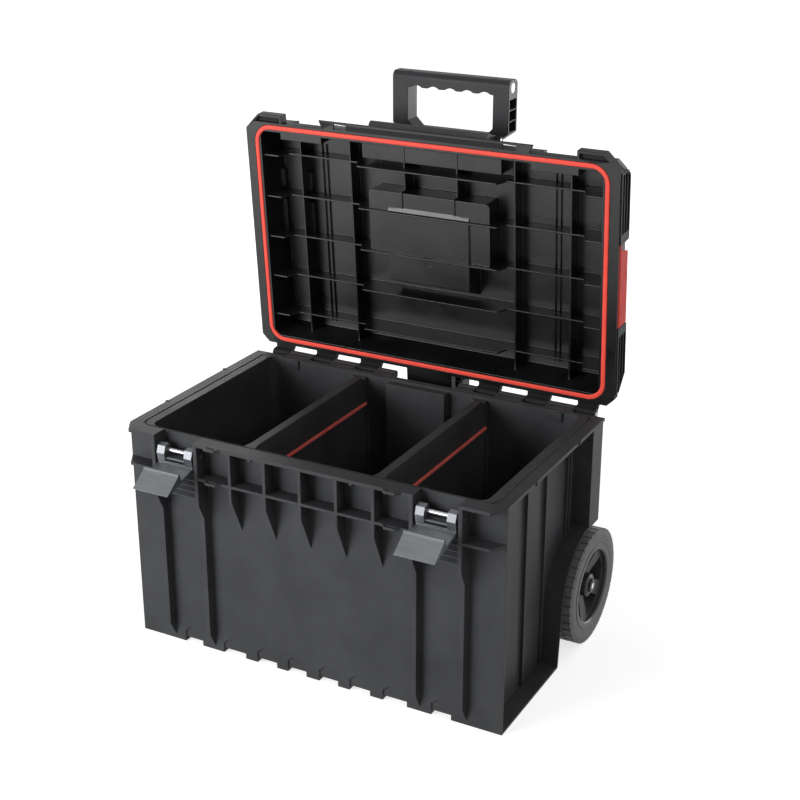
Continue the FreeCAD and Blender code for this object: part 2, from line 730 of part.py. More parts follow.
# %% Dividers and their soft strips
def divider():
    y0, y1 = IN_FRONT + DIV_GAP, IN_BACK - DIV_GAP
    a, b, t = DIV_RAIL / 2, DIV_W / 2, DIV_T
    low = FLOOR_TOP + DIV_GAP
    outer = [(-b, low), (b, low), (b, DIV_STEP), (a, DIV_TOP), (-a, DIV_TOP), (-b, DIV_STEP)]
    inner = [(t - b, low - SINK), (b - t, low - SINK), (b - t, DIV_STEP), (a - t, DIV_TOP - t),
             (t - a, DIV_TOP - t), (t - b, DIV_STEP)]
    panel = prism_y(outer, y0, y1).cut(prism_y(inner, y0 - SINK, y1 + SINK))
    flare = [(-a, y0 + DIV_W), (-b, y0), (b, y0), (a, y0 + DIV_W)]
    ends = [prism_z(flare, DIV_TOP - 2 * t, DIV_TOP)]
    ends.append(box(-b, b, y1 - 3 * t, y1, DIV_STEP - SINK, DIV_TOP))
    return join([panel] + ends)


def trim():
    x0, r = DIV_W / 2, TRIM_H / 2
    y0, y1 = IN_FRONT + TRIM_FRONT, IN_BACK - TRIM_BACK
    bar = box(x0, x0 + TRIM_T, y0, y1, TRIM_Z - r, TRIM_Z + r)
    ends = [rod_x(x0, x0 + TRIM_T, y, TRIM_Z, r) for y in (y0, y1)]
    return join([bar] + ends)


def at_x(shape, x):
    return shape.translated(vec(x, 0, 0))


# %% Lid, modelled closed and then turned to its open rest
def opened(shape):
    out = shape.copy()
    out.rotate(vec(0, HINGE_Y, HINGE_Z), vec(1, 0, 0), -LID_OPEN)
    return out


def lid_plan(inset):
    x, c = LID_HALF - inset, LID_CORNER
    f, b = LID_FRONT + inset, LID_BACK - inset
    front = [(-x, f + c), (c - x, f), (x - c, f), (x, f + c)]
    return front + [(x, b - c), (x - c, b), (c - x, b), (-x, b - c)]


def lid_hull():
    """Flange and tapered upper body."""
    flange = prism_z(lid_plan(0), LID_LOW, FLANGE_TOP)
    return [flange, loft(lid_plan(LID_T), FLANGE_TOP - SINK, lid_plan(LID_TAPER), LID_TOP)]


def lid_mouth():
    """Half width and Y limits of the space inside the seal."""
    edge = SEAL_W / 2 + LID_T
    return SEAL_X - edge, SEAL_FRONT + edge, SEAL_BACK - edge


def lid_cavity():
    x, y0, y1 = lid_mouth()
    t = LID_TAPER
    return loft(rect(x, y0, y1), LID_LOW - SINK, rect(x - t, y0 + t, y1 - t), LID_SKIN)


def lid_ribs():
    """Lengthwise ribs, and cross ribs that step up beside the centre box and at the sides."""
    low, high, top = LID_LOW + LID_RIB_DROP, LID_LOW + ROW_HIGH, LID_SKIN + SINK
    x1, y0, y1 = lid_mouth()
    t = LID_RIB_T / 2
    parts = [box(x - t, x + t, y0, y1, low, top) for x in (BOX_BASE + COL_BOX, LID_HALF - COL_SIDE)]
    a, b = BOX_BASE + ROW_BOX, x1 - ROW_SIDE
    edge = [(0, top), (0, high), (a, high), (a + ROW_SLOPE, low)]
    edge += [(b - ROW_SLOPE, low), (b, high), (x1, high), (x1, top)]
    parts += [prism_y(edge, y - t, y + t) for y in LID_ROWS]
    parts.append(box(TIER_RIB - t, TIER_RIB + t, y0, BOX_Y0, low, top))
    up = LID_LOW + BOX_DEPTH - TIER_RIB_UP
    parts.append(box(TIER_RIB - t, TIER_RIB + t, BOX_Y0 - TIER_RIB_UP, PLATE_Y0 + SINK, up, top))
    parts.append(box(0, a, y0 - SINK, y0 + STEP_L, LID_LOW + STEP_DROP, top))
    return both(parts)


def lid_strips():
    """Raised strips and low beads on the inside of the skin."""
    parts = []
    z0, z1 = LID_SKIN - STRIP_H, LID_SKIN + SINK
    spans = [(LID_ROWS[-1] + a, LID_ROWS[-1] + b) for a, b in STRIP_SPANS]
    for s in STRIP_SIDE:
        x = LID_HALF - s
        parts += [round_box(x - STRIP_W / 2, x + STRIP_W / 2, a, b, z0, z1, STRIP_W / 3) for a, b in spans]
    y0, y1 = LID_ROWS[-1] - SEAM_END, LID_ROWS[0] + SEAM_END
    for s in SEAM_SIDE:
        x = LID_HALF - s
        parts.append(box(x - SEAM_W / 2, x + SEAM_W / 2, y0, y1, LID_SKIN - SEAM_H, z1))
    return both(parts)


def centre_box(shrink):
    """Raised box in the middle of the lid with a thicker plate on it, a recess when seen from above."""
    s, z, top = shrink, LID_LOW + shrink, LID_SKIN + 2 * shrink
    x = BOX_BASE - s
    tier = round_box(-x, x, BOX_Y0 + s, BOX_Y1 - s, z + BOX_DEPTH, top, BOX_R)
    y0, y1 = PLATE_Y0 + s, PLATE_Y0 + PLATE_L - s
    side_view = [(y0, top), (y0, z + BOX_DEPTH), (y0 + PLATE_EDGE, z + PLATE_DEPTH), (y1, z + PLATE_DEPTH),
                 (y1 + PLATE_SLOPE, top)]
    return tier.fuse(prism_x(side_view, s - PLATE_X, PLATE_X - s))


def gate_mark():
    z = LID_LOW + PLATE_DEPTH
    disc = Part.makeCylinder(GATE_R, GATE_D, vec(0, GATE_Y, z))
    return disc.cut(Part.makeCylinder(GATE_NUB, GATE_D, vec(0, GATE_Y, z)))


def seal_ring(z0, z1, grow):
    w = SEAL_W / 2 + grow
    out = round_box(-SEAL_X - w, SEAL_X + w, SEAL_FRONT - w, SEAL_BACK + w, z0, z1, SEAL_R + w)
    low, high = z0 - SINK, z1 + SINK
    hole = round_box(w - SEAL_X, SEAL_X - w, SEAL_FRONT + w, SEAL_BACK - w, low, high, SEAL_R - w)
    return out.cut(hole)


def seal():
    return seal_ring(LID_LOW + SEAL_SINK - SEAL_H, LID_LOW + SEAL_SINK - SEAL_FIT, -SEAL_FIT)


def front_bracket():
    """Thin ledge along the lid's front edge with a slot at each end."""
    y0, y1 = LID_FRONT - BRACKET_OUT, LID_FRONT + SINK
    a, c, x, y2 = POCKET_IN, BRACKET_OUT / 2, POCKET_IN - SLOT_IN, y0 + BRACKET_WALL
    plan = [(c - a, y1), (-a, y0), (a, y0), (a - c, y1)]
    slots = both([box(x - SLOT_W / 2, x + SLOT_W / 2, y2, y2 + SLOT_D, 0, FAR)])
    return prism_z(plan, LID_LOW, LID_LOW + BRACKET_H).cut(slots)


def corner_block():
    """Block at a front corner, with a pocket in its under face."""
    y0, y1, t = LID_FRONT - BRACKET_OUT, LID_FRONT + SINK, BLOCK_WALL
    x0, x1, back = POCKET_END, LID_HALF - BLOCK_SIDE, LID_FRONT - BRACKET_OUT + BLOCK_SIDE
    plan = [(x0, y1), (x0, y0), (x1, y0), (LID_HALF, back), (LID_HALF - LID_CORNER, back)]
    x2 = x1 + BRACKET_OUT - 1.4 * t
    pocket = [(x0 + t, LID_FRONT), (x0 + t, y0 + t), (x1 - 0.4 * t, y0 + t), (x2, LID_FRONT)]
    return prism_z(plan, LID_LOW, LID_LOW + BLOCK_H).cut(prism_z(pocket, 0, LID_LOW + BLOCK_D))


def side_outline(y0, y1, c0, c1, t):
    z0, z1 = LID_LOW + SIDE_LOW + t, LID_LOW + SIDE_LOW + SIDE_H - t
    a, b = y0 + t, y1 - t
    return [(a, z0), (b, z0), (b, z1 - c1), (b - c1, z1), (a + c0, z1), (a, z1 - c0)]


def side_bracket(y0, y1, c0, c1, a, b):
    """Bracket beside a side catch, with channels between Y = a and b."""
    shape = prism_x(side_outline(y0, y1, c0, c1, 0), LID_HALF - LID_TAPER, LID_HALF + SIDE_OUT)
    room = prism_x(side_outline(y0, y1, c0, c1, SIDE_WALL), LID_HALF + SIDE_OUT - SIDE_DEEP, FAR)
    step = (SIDE_H - SIDE_WALL) / SIDE_CELLS
    for i in range(SIDE_CELLS):
        z = LID_LOW + SIDE_LOW + SIDE_WALL + i * step
        shape = shape.cut(room.common(box(0, FAR, a, b, z, z + step - SIDE_WALL)))
    return shape


def side_brackets():
    y0, y1 = LID_FRONT + SIDE_FRONT, CATCH_Y0 - CATCH_GAP
    parts = [side_bracket(y0, y1, SIDE_CUT, SIDE_WALL, y0, y1 - SIDE_SEAT)]
    y0, y1 = CATCH_Y1 + CATCH_GAP, LID_BACK - SIDE_BACK
    parts.append(side_bracket(y0, y1, SIDE_WALL, SIDE_SLOPE, y0 + SIDE_SEAT, y1))
    return both(parts)


def catch_room():
    """Recess behind a side catch; a thin flange stays in front of it."""
    y0, y1 = CATCH_Y0 - CATCH_GAP, CATCH_Y1 + CATCH_GAP
    r, z0 = CATCH_ROOT + CATCH_CLEAR, LID_LOW + CATCH_LOW
    root = box(CATCH_X - r, FAR, y0, y1, z0, CATCH_Z + r)
    flap = box(LID_HALF - LID_T, FAR, y0, y1, z0, FAR)
    return both([root, flap])


def lid_arms():
    """Arms from the lid's back edge to the hinge rods, and the stop lug between them."""
    parts = []
    y, r = LID_BACK - LID_T, KNUCKLE_R
    web = [(y, LID_LOW), (HINGE_Y - r, LID_LOW), (HINGE_Y - r, HINGE_Z), (HINGE_Y, HINGE_Z - r),
           (HINGE_Y + r, HINGE_Z), (LID_BACK, FLANGE_TOP), (y, FLANGE_TOP)]
    for x0, x1 in LID_ARMS:
        parts.append(prism_x(web, x0, x1))
        parts.append(rod_x(x0, x1, HINGE_Y, HINGE_Z, r))
    return both(parts) + [box(-LUG_X, LUG_X, y, HINGE_Y + LUG_OUT, LID_LOW, FLANGE_TOP)]


def clasp_seats():
    """Recesses in the front edge where the clasps hook over the flange."""
    t, y1 = LID_T, LID_FRONT + SEAT_D
    seat = box(POCKET_IN - t, POCKET_END + t, LID_FRONT, y1, LID_LOW, LID_TOP)
    slot = box(POCKET_IN, POCKET_END, -FAR, y1 - t, FLANGE_TOP, FAR)
    return both([seat]), both([slot])


def carry_lugs():
    x0, x1 = CARRY_X + ARM_GAP, CARRY_X + ARM_GAP + CARRY_LUG
    root, r = LID_FRONT + LID_TAPER + LID_T, CARRY_EYE
    side = [(root, CARRY_Z - CARRY_ROOT), (CARRY_Y, CARRY_Z - r), (CARRY_Y - r, CARRY_Z)]
    side += [(CARRY_Y, CARRY_Z + r), (root, LID_TOP)]
    return both([prism_x(side, x0, x1)])


def lid_rails():
    """Low stacking rails on the outside."""
    parts = []
    x0, x1 = BOX_BASE + RAIL_BOX, LID_HALF - RAIL_IN
    for y in (SEAL_FRONT + RAIL_IN, SEAL_BACK - RAIL_IN):
        parts.append(box(x0, x1, y - RAIL_W / 2, y + RAIL_W / 2, LID_TOP - SINK, LID_TOP + RAIL_H))
    return both(parts)


def lid():
    seats, slots = clasp_seats()
    hull = join(lid_hull()).cut(lid_cavity())
    shape = join([hull, centre_box(0), front_bracket()] + lid_ribs() + lid_strips() + seats + side_brackets()
                 + both([corner_block()]) + lid_arms() + carry_lugs() + lid_rails())
    cuts = slots + catch_room() + [centre_box(LID_T), seal_ring(LID_LOW - SINK, LID_LOW + SEAL_SINK, 0)]
    cuts.append(gate_mark())
    y0, y1 = CATCH_Y0 - CATCH_PIN_IN - SINK, CATCH_Y1 + CATCH_PIN_IN + SINK
    cuts += both([rod_y(y0, y1, CATCH_X, CATCH_Z, CATCH_PIN_R + FIT)])
    cuts += both([rod_x(CARRY_X, FAR, CARRY_Y, CARRY_Z, CARRY_PIN_R + FIT)])
    cuts += both([rod_x(HINGE_IN, FAR, HINGE_Y, HINGE_Z, HINGE_ROD_R + RUN)])
    return shape.cut(cuts).removeSplitter()


# %% Pieces on the lid
def side_catch():
    """Flap on a rounded root, with a finger gap at its front end."""
    x0, x1 = LID_HALF + CATCH_OUT - CATCH_T, LID_HALF + CATCH_OUT
    z0, z1 = CATCH_Z, LID_LOW + CATCH_H
    front_end = CATCH_Y0 + CATCH_STEP
    side_view = [(front_end, z0), (CATCH_Y1, z0), (CATCH_Y1, z1), (front_end + CATCH_SLOPE, z1)]
    root = rod_y(CATCH_Y0, CATCH_Y1, CATCH_X, CATCH_Z, CATCH_ROOT)
    bore = rod_y(CATCH_Y0 - SINK, CATCH_Y1 + SINK, CATCH_X, CATCH_Z, CATCH_PIN_R + RUN)
    return join([root, prism_x(side_view, x0, x1)]).cut(bore)


def catch_pins():
    y0, y1 = CATCH_Y0 - CATCH_PIN_IN, CATCH_Y1 + CATCH_PIN_IN
    return Part.makeCompound(both([rod_y(y0, y1, CATCH_X, CATCH_Z, CATCH_PIN_R)]))


def carry_handle():
    r, e = CARRY_BAR / 2, CARRY_EYE
    low = CARRY_Z - CARRY_DROP - r
    bar = rod_x(-CARRY_X, CARRY_X, CARRY_Y - r, low, r)
    arm = [(CARRY_Y - e, CARRY_Z), (CARRY_Y, CARRY_Z + e), (CARRY_Y + e - SINK, CARRY_Z), (CARRY_Y, low),
           (CARRY_Y - 2 * r, low)]
    arms = both([prism_x(arm, CARRY_X - CARRY_ARM, CARRY_X)])
    bore = rod_x(-FAR, FAR, CARRY_Y, CARRY_Z, CARRY_PIN_R + RUN)
    return join([bar] + arms).cut(bore)


def carry_pins():
    x0, x1 = CARRY_X - CARRY_ARM, CARRY_X + ARM_GAP + CARRY_LUG
    return Part.makeCompound(both([rod_x(x0, x1, CARRY_Y, CARRY_Z, CARRY_PIN_R)]))


# %% Clasps, modelled closed and then fallen open
def clasp_profile():
    """Knuckle, plate, inward hook and finger flare in (out, up) from the pin."""
    u, t, h, c = CLASP_OUT, CLASP_T, HOOK_UP, CLASP_EDGE
    b, f, k, reach = CLASP_BACK, CLASP_FOOT, CLASP_HEAD, CLASP_OUT - HOOK_REACH
    s, tip = h + FLARE_UP, h + FLARE_UP + FLARE_RISE
    foot = [(-b, -c), (-c, -f), (u, -f), (u + t, t - f)]
    flare = [(u + t, s), (u + t + FLARE_OUT, tip), (u + FLARE_OUT + c, tip + FLARE_T)]
    hook = [(reach + c, h + HOOK_T), (reach, h + c), (reach, h), (u, h - HOOK_SLOPE)]
    return foot + flare + hook + [(u, k), (0, k), (-b, k / 2)]


def clasp():
    points = [(CLASP_Y - out, CLASP_Z + up) for out, up in clasp_profile()]
    x0, x1 = POCKET_X - CLASP_W / 2, POCKET_X + CLASP_W / 2
    shape = prism_x(points, x0, x1)
    g = CLASP_GAP / 2
    y = CLASP_Y - CLASP_OUT + CLASP_EDGE
    gap = box(POCKET_X - g, POCKET_X + g, y, FAR, -FAR, CLASP_Z + CLASP_HEAD + SINK)
    pins = rod_x(x0 - SINK, x1 + SINK, CLASP_Y, CLASP_Z, CLASP_PIN_R + RUN)
    return shape.cut([gap, pins, bar_rod(BAR_SEAT, CLASP_BAR_R + FIT)])


def fallen(shape):
    out = shape.copy()
    out.rotate(vec(0, CLASP_Y, CLASP_Z), vec(1, 0, 0), CLASP_OPEN)
    return out


def bar_rod(seat, radius):
    g = CLASP_GAP / 2 + seat
    return rod_x(POCKET_X - g, POCKET_X + g, CLASP_Y - BAR_OUT, CLASP_Z + BAR_UP, radius)


def clasp_bar():
    return bar_rod(BAR_SEAT - FIT, CLASP_BAR_R)


def clasp_pins():
    a, b = POCKET_IN - POCKET_WALL, POCKET_END + POCKET_WALL
    return Part.makeCompound(both([rod_x(a, b, CLASP_Y, CLASP_Z, CLASP_PIN_R)]))


# %% Wheels
def turned(points):
    """Turn an (x, radius) outline round the axle line."""
    outline = face([vec(x, WHEEL_Y, WHEEL_Z + r) for x, r in points])
    return outline.revolve(vec(0, WHEEL_Y, WHEEL_Z), vec(1, 0, 0), 360)


def tread_cuts():
    """Slots across both shoulders of the tyre."""
    cuts = []
    a, b, w = WHEEL_FACE - WHEEL_W, WHEEL_FACE, TREAD_W / 2
    low, high = WHEEL_Z + WHEEL_R - TREAD_D, WHEEL_Z + WHEEL_R + SINK
    for i in range(TREADS):
        for x0, x1, turn in ((a - SINK, a + TREAD_L, 0.5), (b - TREAD_L, b + SINK, 0)):
            slot = box(x0, x1, WHEEL_Y - w, WHEEL_Y + w, low, high)
            slot.rotate(vec(0, WHEEL_Y, WHEEL_Z), vec(1, 0, 0), 360 * (i + turn) / TREADS)
            cuts.append(slot)
    return cuts


def tyre():
    a, b = WHEEL_FACE - WHEEL_W, WHEEL_FACE
    r, s, e, q = WHEEL_R, RIM_R, BEAD, SHOULDER
    inner = [(a + e, s), (a, s + 3 * e), (a + e / 2, r - 0.6 * q), (a + 0.6 * q, r - e / 2), (a + q, r)]
    outer = [(b - q, r), (b - q / 2, r - 0.75 * e), (b - e / 2, r - 0.8 * q), (b, r - 1.4 * q)]
    outer += [(b, s + 2 * e), (b - e, s + 1.5 * e), (b - e, s)]
    return turned(inner + outer).cut(tread_cuts())


def wheel_rim():
    a, b = WHEEL_FACE - WHEEL_W, WHEEL_FACE
    s, h, bore, e = RIM_R - FIT, HUB_R, AXLE_R + RUN, BEAD
    seat = b - e + 2 * FIT
    hub = [(a - HUB_IN, bore), (b - HUB_SINK, bore), (b - HUB_SINK, h - HUB_EDGE)]
    hub += [(b - HUB_SINK - HUB_EDGE, h), (b - DISH_HUB, h)]
    ring = [(b - DISH_RING, s - RING_W), (b - e, s - RING_W), (b, s - RING_W + e), (b, s + 1.4 * e),
            (seat, s + 1.4 * e), (seat, s)]
    back = [(a + e, s), (a + e, s - RIM_T), (b - WEB_BACK, s - RIM_T), (b - WEB_BACK, h), (a - HUB_IN, h)]
    return turned(hub + ring + back).cut(windows())


def windows():
    """Openings between the broad spokes."""
    cuts = []
    r0, r1 = HUB_R + SPOKE_HUB, RIM_R - SPOKE_RING
    outline = [(r0, WINDOW_HUB), (r1, WINDOW_RING), (r1 + SINK, 0), (r1, -WINDOW_RING), (r0, -WINDOW_HUB)]
    for i in range(SPOKES):
        a = 2 * math.pi * (i + 0.5) / SPOKES
        points = [(WHEEL_Y + r * math.cos(a + w), WHEEL_Z + r * math.sin(a + w)) for r, w in outline]
        cuts.append(prism_x(points, WHEEL_FACE - WHEEL_W, WHEEL_FACE))
    return cuts


def axle():
    """Stub axle, set in the blind bore of the boss."""
    return rod_x(AXLE_SEAT, WHEEL_FACE - AXLE_END, WHEEL_Y, WHEEL_Z, AXLE_R)


def axle_ring():
    x0 = WHEEL_FACE - HUB_SINK + CLIP_GAP
    ring = rod_x(x0, x0 + CLIP_T, WHEEL_Y, WHEEL_Z, AXLE_R + CLIP_H)
    return ring.cut(rod_x(x0 - SINK, x0 + CLIP_T + SINK, WHEEL_Y, WHEEL_Z, AXLE_R + FIT))


# %% Hinge rods
def hinge_rod():
    return rod_x(HINGE_IN + ARM_GAP, HINGE_END + ARM_GAP, HINGE_Y, HINGE_Z, HINGE_ROD_R)


# %% Mast housing on the back wall
def tube(width, depth, z0, z1, radius):
    return round_box(-width / 2, width / 2, MAST_Y - depth / 2, MAST_Y + depth / 2, z0, z1, radius)


def pad_top():
    """Height where the open lid's stop lug lands."""
    a = math.radians(LID_OPEN)
    return HINGE_Z - LUG_OUT * math.sin(a) + (LID_LOW - HINGE_Z) * math.cos(a) - STOP_GAP


def housing_gussets(y0, y1):
    half, t = HOUSING_W / 2, GUSSET_T / 2
    plan = [(half - SINK, y0), (SPINE_X, y0), (SPINE_X, BACK + SPINE_T), (half, y1), (half - SINK, y1)]
    parts = []
    for i in range(GUSSETS):
        z = GUSSET_Z + i * GUSSET_PITCH
        parts.append(prism_z(plan, z - t, z + t))
        parts.append(box(0, half - SINK, y0, y1, z - t, z + t))
    return both(parts)


def housing():
    y0, y1 = BACK + SINK, MAST_Y - HOUSING_D / 2 + SINK
    half = HOUSING_W / 2
    plate = box(-SPINE_X, SPINE_X, BACK, BACK + SPINE_T, HOUSING_LOW, SPINE_TOP)
    column = tube(HOUSING_W, HOUSING_D, HOUSING_LOW, HOUSING_TOP, HOUSING_R)
    web = [(y0, HOUSING_LOW), (y1, HOUSING_LOW + SPINE_TAPER), (y1, SPINE_TOP), (y0, SPINE_TOP)]
    webs = both([prism_x(web, half - SPINE_T, half)])
    pad = box(-half, half, RIM_BACK + PAD_IN, RIM_BACK + PAD_IN + PAD_L, SPINE_TOP - GUSSET_HIGH, pad_top())
    shape = join([plate, column, pad] + webs + housing_gussets(y0, y1))
    w, d = OUTER_W + 2 * SLIDE_GAP, OUTER_D + 2 * SLIDE_GAP
    bore = tube(w, d, HOUSING_LOW + HOUSING_FLOOR, FAR, TUBE_R + SLIDE_GAP)
    holes = both([rod_y(0, BACK + SPINE_T + SINK / 2, MOUNT_X, z, SCREW_R + FIT) for z in MOUNT_Z])
    return shape.cut([bore] + holes)


def screw(x, z, y, length):
    head = rod_y(y, y + HEAD_H, x, z, HEAD_R)
    shank = rod_y(y - length, y, x, z, SCREW_R)
    a, b, deep = CROSS_L, CROSS_W, y + HEAD_H / 2
    cross = [box(x - a, x + a, deep, FAR, z - b, z + b), box(x - b, x + b, deep, FAR, z - a, z + a)]
    return join([head, shank]).cut(cross)


def housing_screws():
    y = BACK + SPINE_T
    return Part.makeCompound(both([screw(MOUNT_X, z, y, SPINE_T + SCREW_L - SCREW_END) for z in MOUNT_Z]))


# %% Telescopic mast
def outer_tube():
    solid = tube(OUTER_W, OUTER_D, STAGE_LOW, STAGE_TOP, TUBE_R)
    return solid.cut(tube(OUTER_W - 2 * TUBE_T, OUTER_D - 2 * TUBE_T, -FAR, FAR, 0.6 * TUBE_R))


def collar():
    z1 = STAGE_TOP + COLLAR_TOP
    ring = tube(OUTER_W + 2 * COLLAR_T, OUTER_D + 2 * COLLAR_T, z1 - COLLAR_H, z1, HOUSING_R)
    seat = tube(OUTER_W + 2 * FIT, OUTER_D + 2 * FIT, 0, STAGE_TOP + FIT, TUBE_R)
    through = tube(INNER_W + 2 * SLIDE_GAP, INNER_D + 2 * SLIDE_GAP, 0, FAR, 0.8 * TUBE_R)
    return ring.cut([seat, through])


def shoe():
    """Guide foot inside the lower end of the outer tube."""
    w, d = OUTER_W - 2 * TUBE_T - 2 * FIT, OUTER_D - 2 * TUBE_T - 2 * FIT
    plug = tube(w, d, STAGE_LOW, STAGE_LOW + SHOE_H, 0.6 * TUBE_R)
    plate = tube(OUTER_W, OUTER_D, STAGE_LOW - SHOE_T, STAGE_LOW, TUBE_R)
    hole = tube(w - 2 * SHOE_WALL, d - 1.5 * SHOE_WALL, 0, FAR, 0.4 * TUBE_R)
    return join([plug, plate]).cut(hole)


def inner_tube():
    solid = tube(INNER_W, INNER_D, INNER_LOW, SOCKET_TOP - SINK, 0.7 * TUBE_R)
    hollow = tube(INNER_W - 2 * TUBE_T, INNER_D - 2 * TUBE_T, -FAR, FAR, 0.3 * TUBE_R)
    holes = both([rod_y(0, FAR, INNER_W / 4, GRIP_SCREW_Z, SCREW_R + FIT)])
    return solid.cut([hollow] + holes)


# %% Pull grip
def grip_outline():
    a, n = GRIP_W / 2, GRIP_NECK
    return [(-n, GRIP_LOW), (n, GRIP_LOW), (a, GRIP_SIDE), (a, GRIP_TOP), (-a, GRIP_TOP), (-a, GRIP_SIDE)]


def hand_opening():
    """Opening with sloped lower corners and finger scallops under the bar."""
    a, c = GRIP_W / 2 - GRIP_LEG, GRIP_SLOPE
    low, top = GRIP_GAP, GRIP_TOP - GRIP_BAR
    y0, y1 = MAST_Y - GRIP_D, MAST_Y + GRIP_D
    hole = prism_y([(-a, low + c), (c - a, low), (a - c, low), (a, low + c), (a, top), (-a, top)], y0, y1)
    r = a / (2 * FINGERS + 1)
    keep = box(-a, a, y0, y1, low + c, FAR)
    fingers = [rod_y(y0, y1, 2 * r * i, top - r * 0.75, r) for i in range(-FINGERS, FINGERS + 1)]
    return hole.fuse([f.common(keep) for f in fingers])


def plug_shape(x0, x1, grow):
    """Oval plug at the end of the grip bar."""
    r, z = PLUG_R + grow, GRIP_TOP - GRIP_BAR / 2 - SINK
    h = PLUG_H / 2 - PLUG_R
    flat = box(x0, x1, MAST_Y - r, MAST_Y + r, z - h, z + h)
    return flat.fuse([rod_x(x0, x1, MAST_Y, z - h, r), rod_x(x0, x1, MAST_Y, z + h, r)])


def grip_cells():
    """Open cells down the outer side of each leg."""
    cells = []
    x0 = GRIP_W / 2 - GRIP_LEG + CELL_WALL
    y0, y1 = MAST_Y - GRIP_D / 2 + CELL_WALL, MAST_Y + GRIP_D / 2 - CELL_WALL
    z0, z1 = GRIP_SIDE + CELL_RIB, GRIP_TOP - GRIP_BAR - CELL_WALL
    step = (z1 - z0) / CELLS
    for i in range(CELLS):
        z = z0 + i * step
        cells.append(box(x0, FAR, y0, y1, z, z + step - CELL_RIB))
    return both(cells)


def grip():
    y0, y1 = MAST_Y - GRIP_D / 2, MAST_Y + GRIP_D / 2
    solid = round_edges(prism_y(grip_outline(), y0, y1), GRIP_R, vec(1, 0, 0), GRIP_GAP)
    a, z = GRIP_W / 2, GRIP_SCREW_Z
    socket = tube(INNER_W + 2 * FIT, INNER_D + 2 * FIT, 0, SOCKET_TOP, 0.7 * TUBE_R)
    holes = both([rod_y(MAST_Y, FAR, INNER_W / 4, z, SCREW_R + FIT)])
    sinks = both([rod_y(y1 - GRIP_WALL / 2, FAR, INNER_W / 4, z, HEAD_R + 4 * FIT)])
    ends = both([plug_shape(a - PLUG_T - PLUG_SINK, FAR, FIT)])
    x, w = a - GRIP_LEG, RING_CUT / 2
    rings = both([box(x - w, x + w, -FAR, FAR, GRIP_TOP - RING_DEEP, FAR)])
    return solid.cut([hand_opening(), socket] + grip_cells() + holes + sinks + ends + rings)


def grip_plugs():
    a = GRIP_W / 2 - PLUG_SINK
    return Part.makeCompound(both([plug_shape(a - PLUG_T, a, 0).removeSplitter()]))


def grip_screws():
    y = MAST_Y + GRIP_D / 2 - GRIP_WALL / 2
    reach = GRIP_WALL / 2 + TUBE_T + SCREW_END
    return Part.makeCompound(both([screw(INNER_W / 4, GRIP_SCREW_Z, y, reach)]))


# %% Build every node
os.makedirs("parts", exist_ok=True)
save("tub", tub())
save("divider_left", at_x(divider(), -DIV_X))
save("divider_right", at_x(divider(), DIV_X))
save("divider_trim_left", at_x(trim(), -DIV_X))
save("divider_trim_right", at_x(trim(), DIV_X))
save("hinge_rod_right", hinge_rod())
save("hinge_rod_left", mirrored(hinge_rod()))
save("clasp_pins", clasp_pins())
save("axle_right", axle())
save("axle_left", mirrored(axle()))
save("axle_rings", Part.makeCompound(both([axle_ring()])))
save("mast_housing", housing())
save("housing_screws", housing_screws())
save("lid", opened(lid()))
save("lid_seal", opened(seal()))
save("side_catch_right", opened(side_catch()))
save("side_catch_left", opened(mirrored(side_catch())))
save("catch_pins", opened(catch_pins()))
save("carry_handle", opened(carry_handle()))
save("carry_pins", opened(carry_pins()))
save("clasp_right", fallen(clasp()))
save("clasp_left", fallen(mirrored(clasp())))
save("clasp_bar_right", fallen(clasp_bar()))
save("clasp_bar_left", fallen(mirrored(clasp_bar())))
save("tyre_right", tyre())
save("tyre_left", mirrored(tyre()))
save("wheel_rim_right", wheel_rim())
save("wheel_rim_left", mirrored(wheel_rim()))
save("mast_outer", outer_tube())
save("mast_collar", collar())
save("mast_shoe", shoe())
save("mast_inner", inner_tube())
save("pull_grip", grip())
save("grip_plugs", grip_plugs())
save("grip_screws", grip_screws())
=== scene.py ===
# %% [markdown]
# A rolling jobsite storage box, dressed for a studio picture.
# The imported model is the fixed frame: every node already has its true size and place in metres.
# This lesson gives each piece the rolled edges, small repeated forms and finishes that the real one has.

# %% Load the frame
import json
import math
import bmesh
import bpy
import numpy as np
from mathutils import Matrix, Vector
from mathutils.bvhtree import BVHTree
from mathutils.geometry import intersect_point_line

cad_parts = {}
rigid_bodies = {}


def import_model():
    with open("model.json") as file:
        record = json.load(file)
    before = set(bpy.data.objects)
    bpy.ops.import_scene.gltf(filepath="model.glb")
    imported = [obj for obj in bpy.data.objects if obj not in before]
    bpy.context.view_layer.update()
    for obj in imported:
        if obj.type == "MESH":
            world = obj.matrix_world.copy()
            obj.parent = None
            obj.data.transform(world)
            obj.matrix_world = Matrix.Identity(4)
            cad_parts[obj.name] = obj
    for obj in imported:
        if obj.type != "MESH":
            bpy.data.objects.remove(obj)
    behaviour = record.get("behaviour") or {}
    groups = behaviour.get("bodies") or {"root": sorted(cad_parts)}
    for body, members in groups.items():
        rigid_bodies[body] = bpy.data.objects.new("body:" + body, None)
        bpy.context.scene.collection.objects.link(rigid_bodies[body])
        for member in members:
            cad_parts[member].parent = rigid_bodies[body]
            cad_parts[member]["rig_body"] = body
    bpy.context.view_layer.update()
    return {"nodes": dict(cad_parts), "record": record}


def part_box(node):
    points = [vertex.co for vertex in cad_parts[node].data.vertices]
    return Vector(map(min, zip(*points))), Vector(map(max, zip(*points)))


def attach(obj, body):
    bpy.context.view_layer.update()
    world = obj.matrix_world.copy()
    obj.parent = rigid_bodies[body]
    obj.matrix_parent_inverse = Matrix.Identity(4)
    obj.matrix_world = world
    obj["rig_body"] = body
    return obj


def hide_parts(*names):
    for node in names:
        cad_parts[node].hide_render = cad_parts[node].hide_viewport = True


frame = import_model()
cad = frame["nodes"]
scene = bpy.context.scene

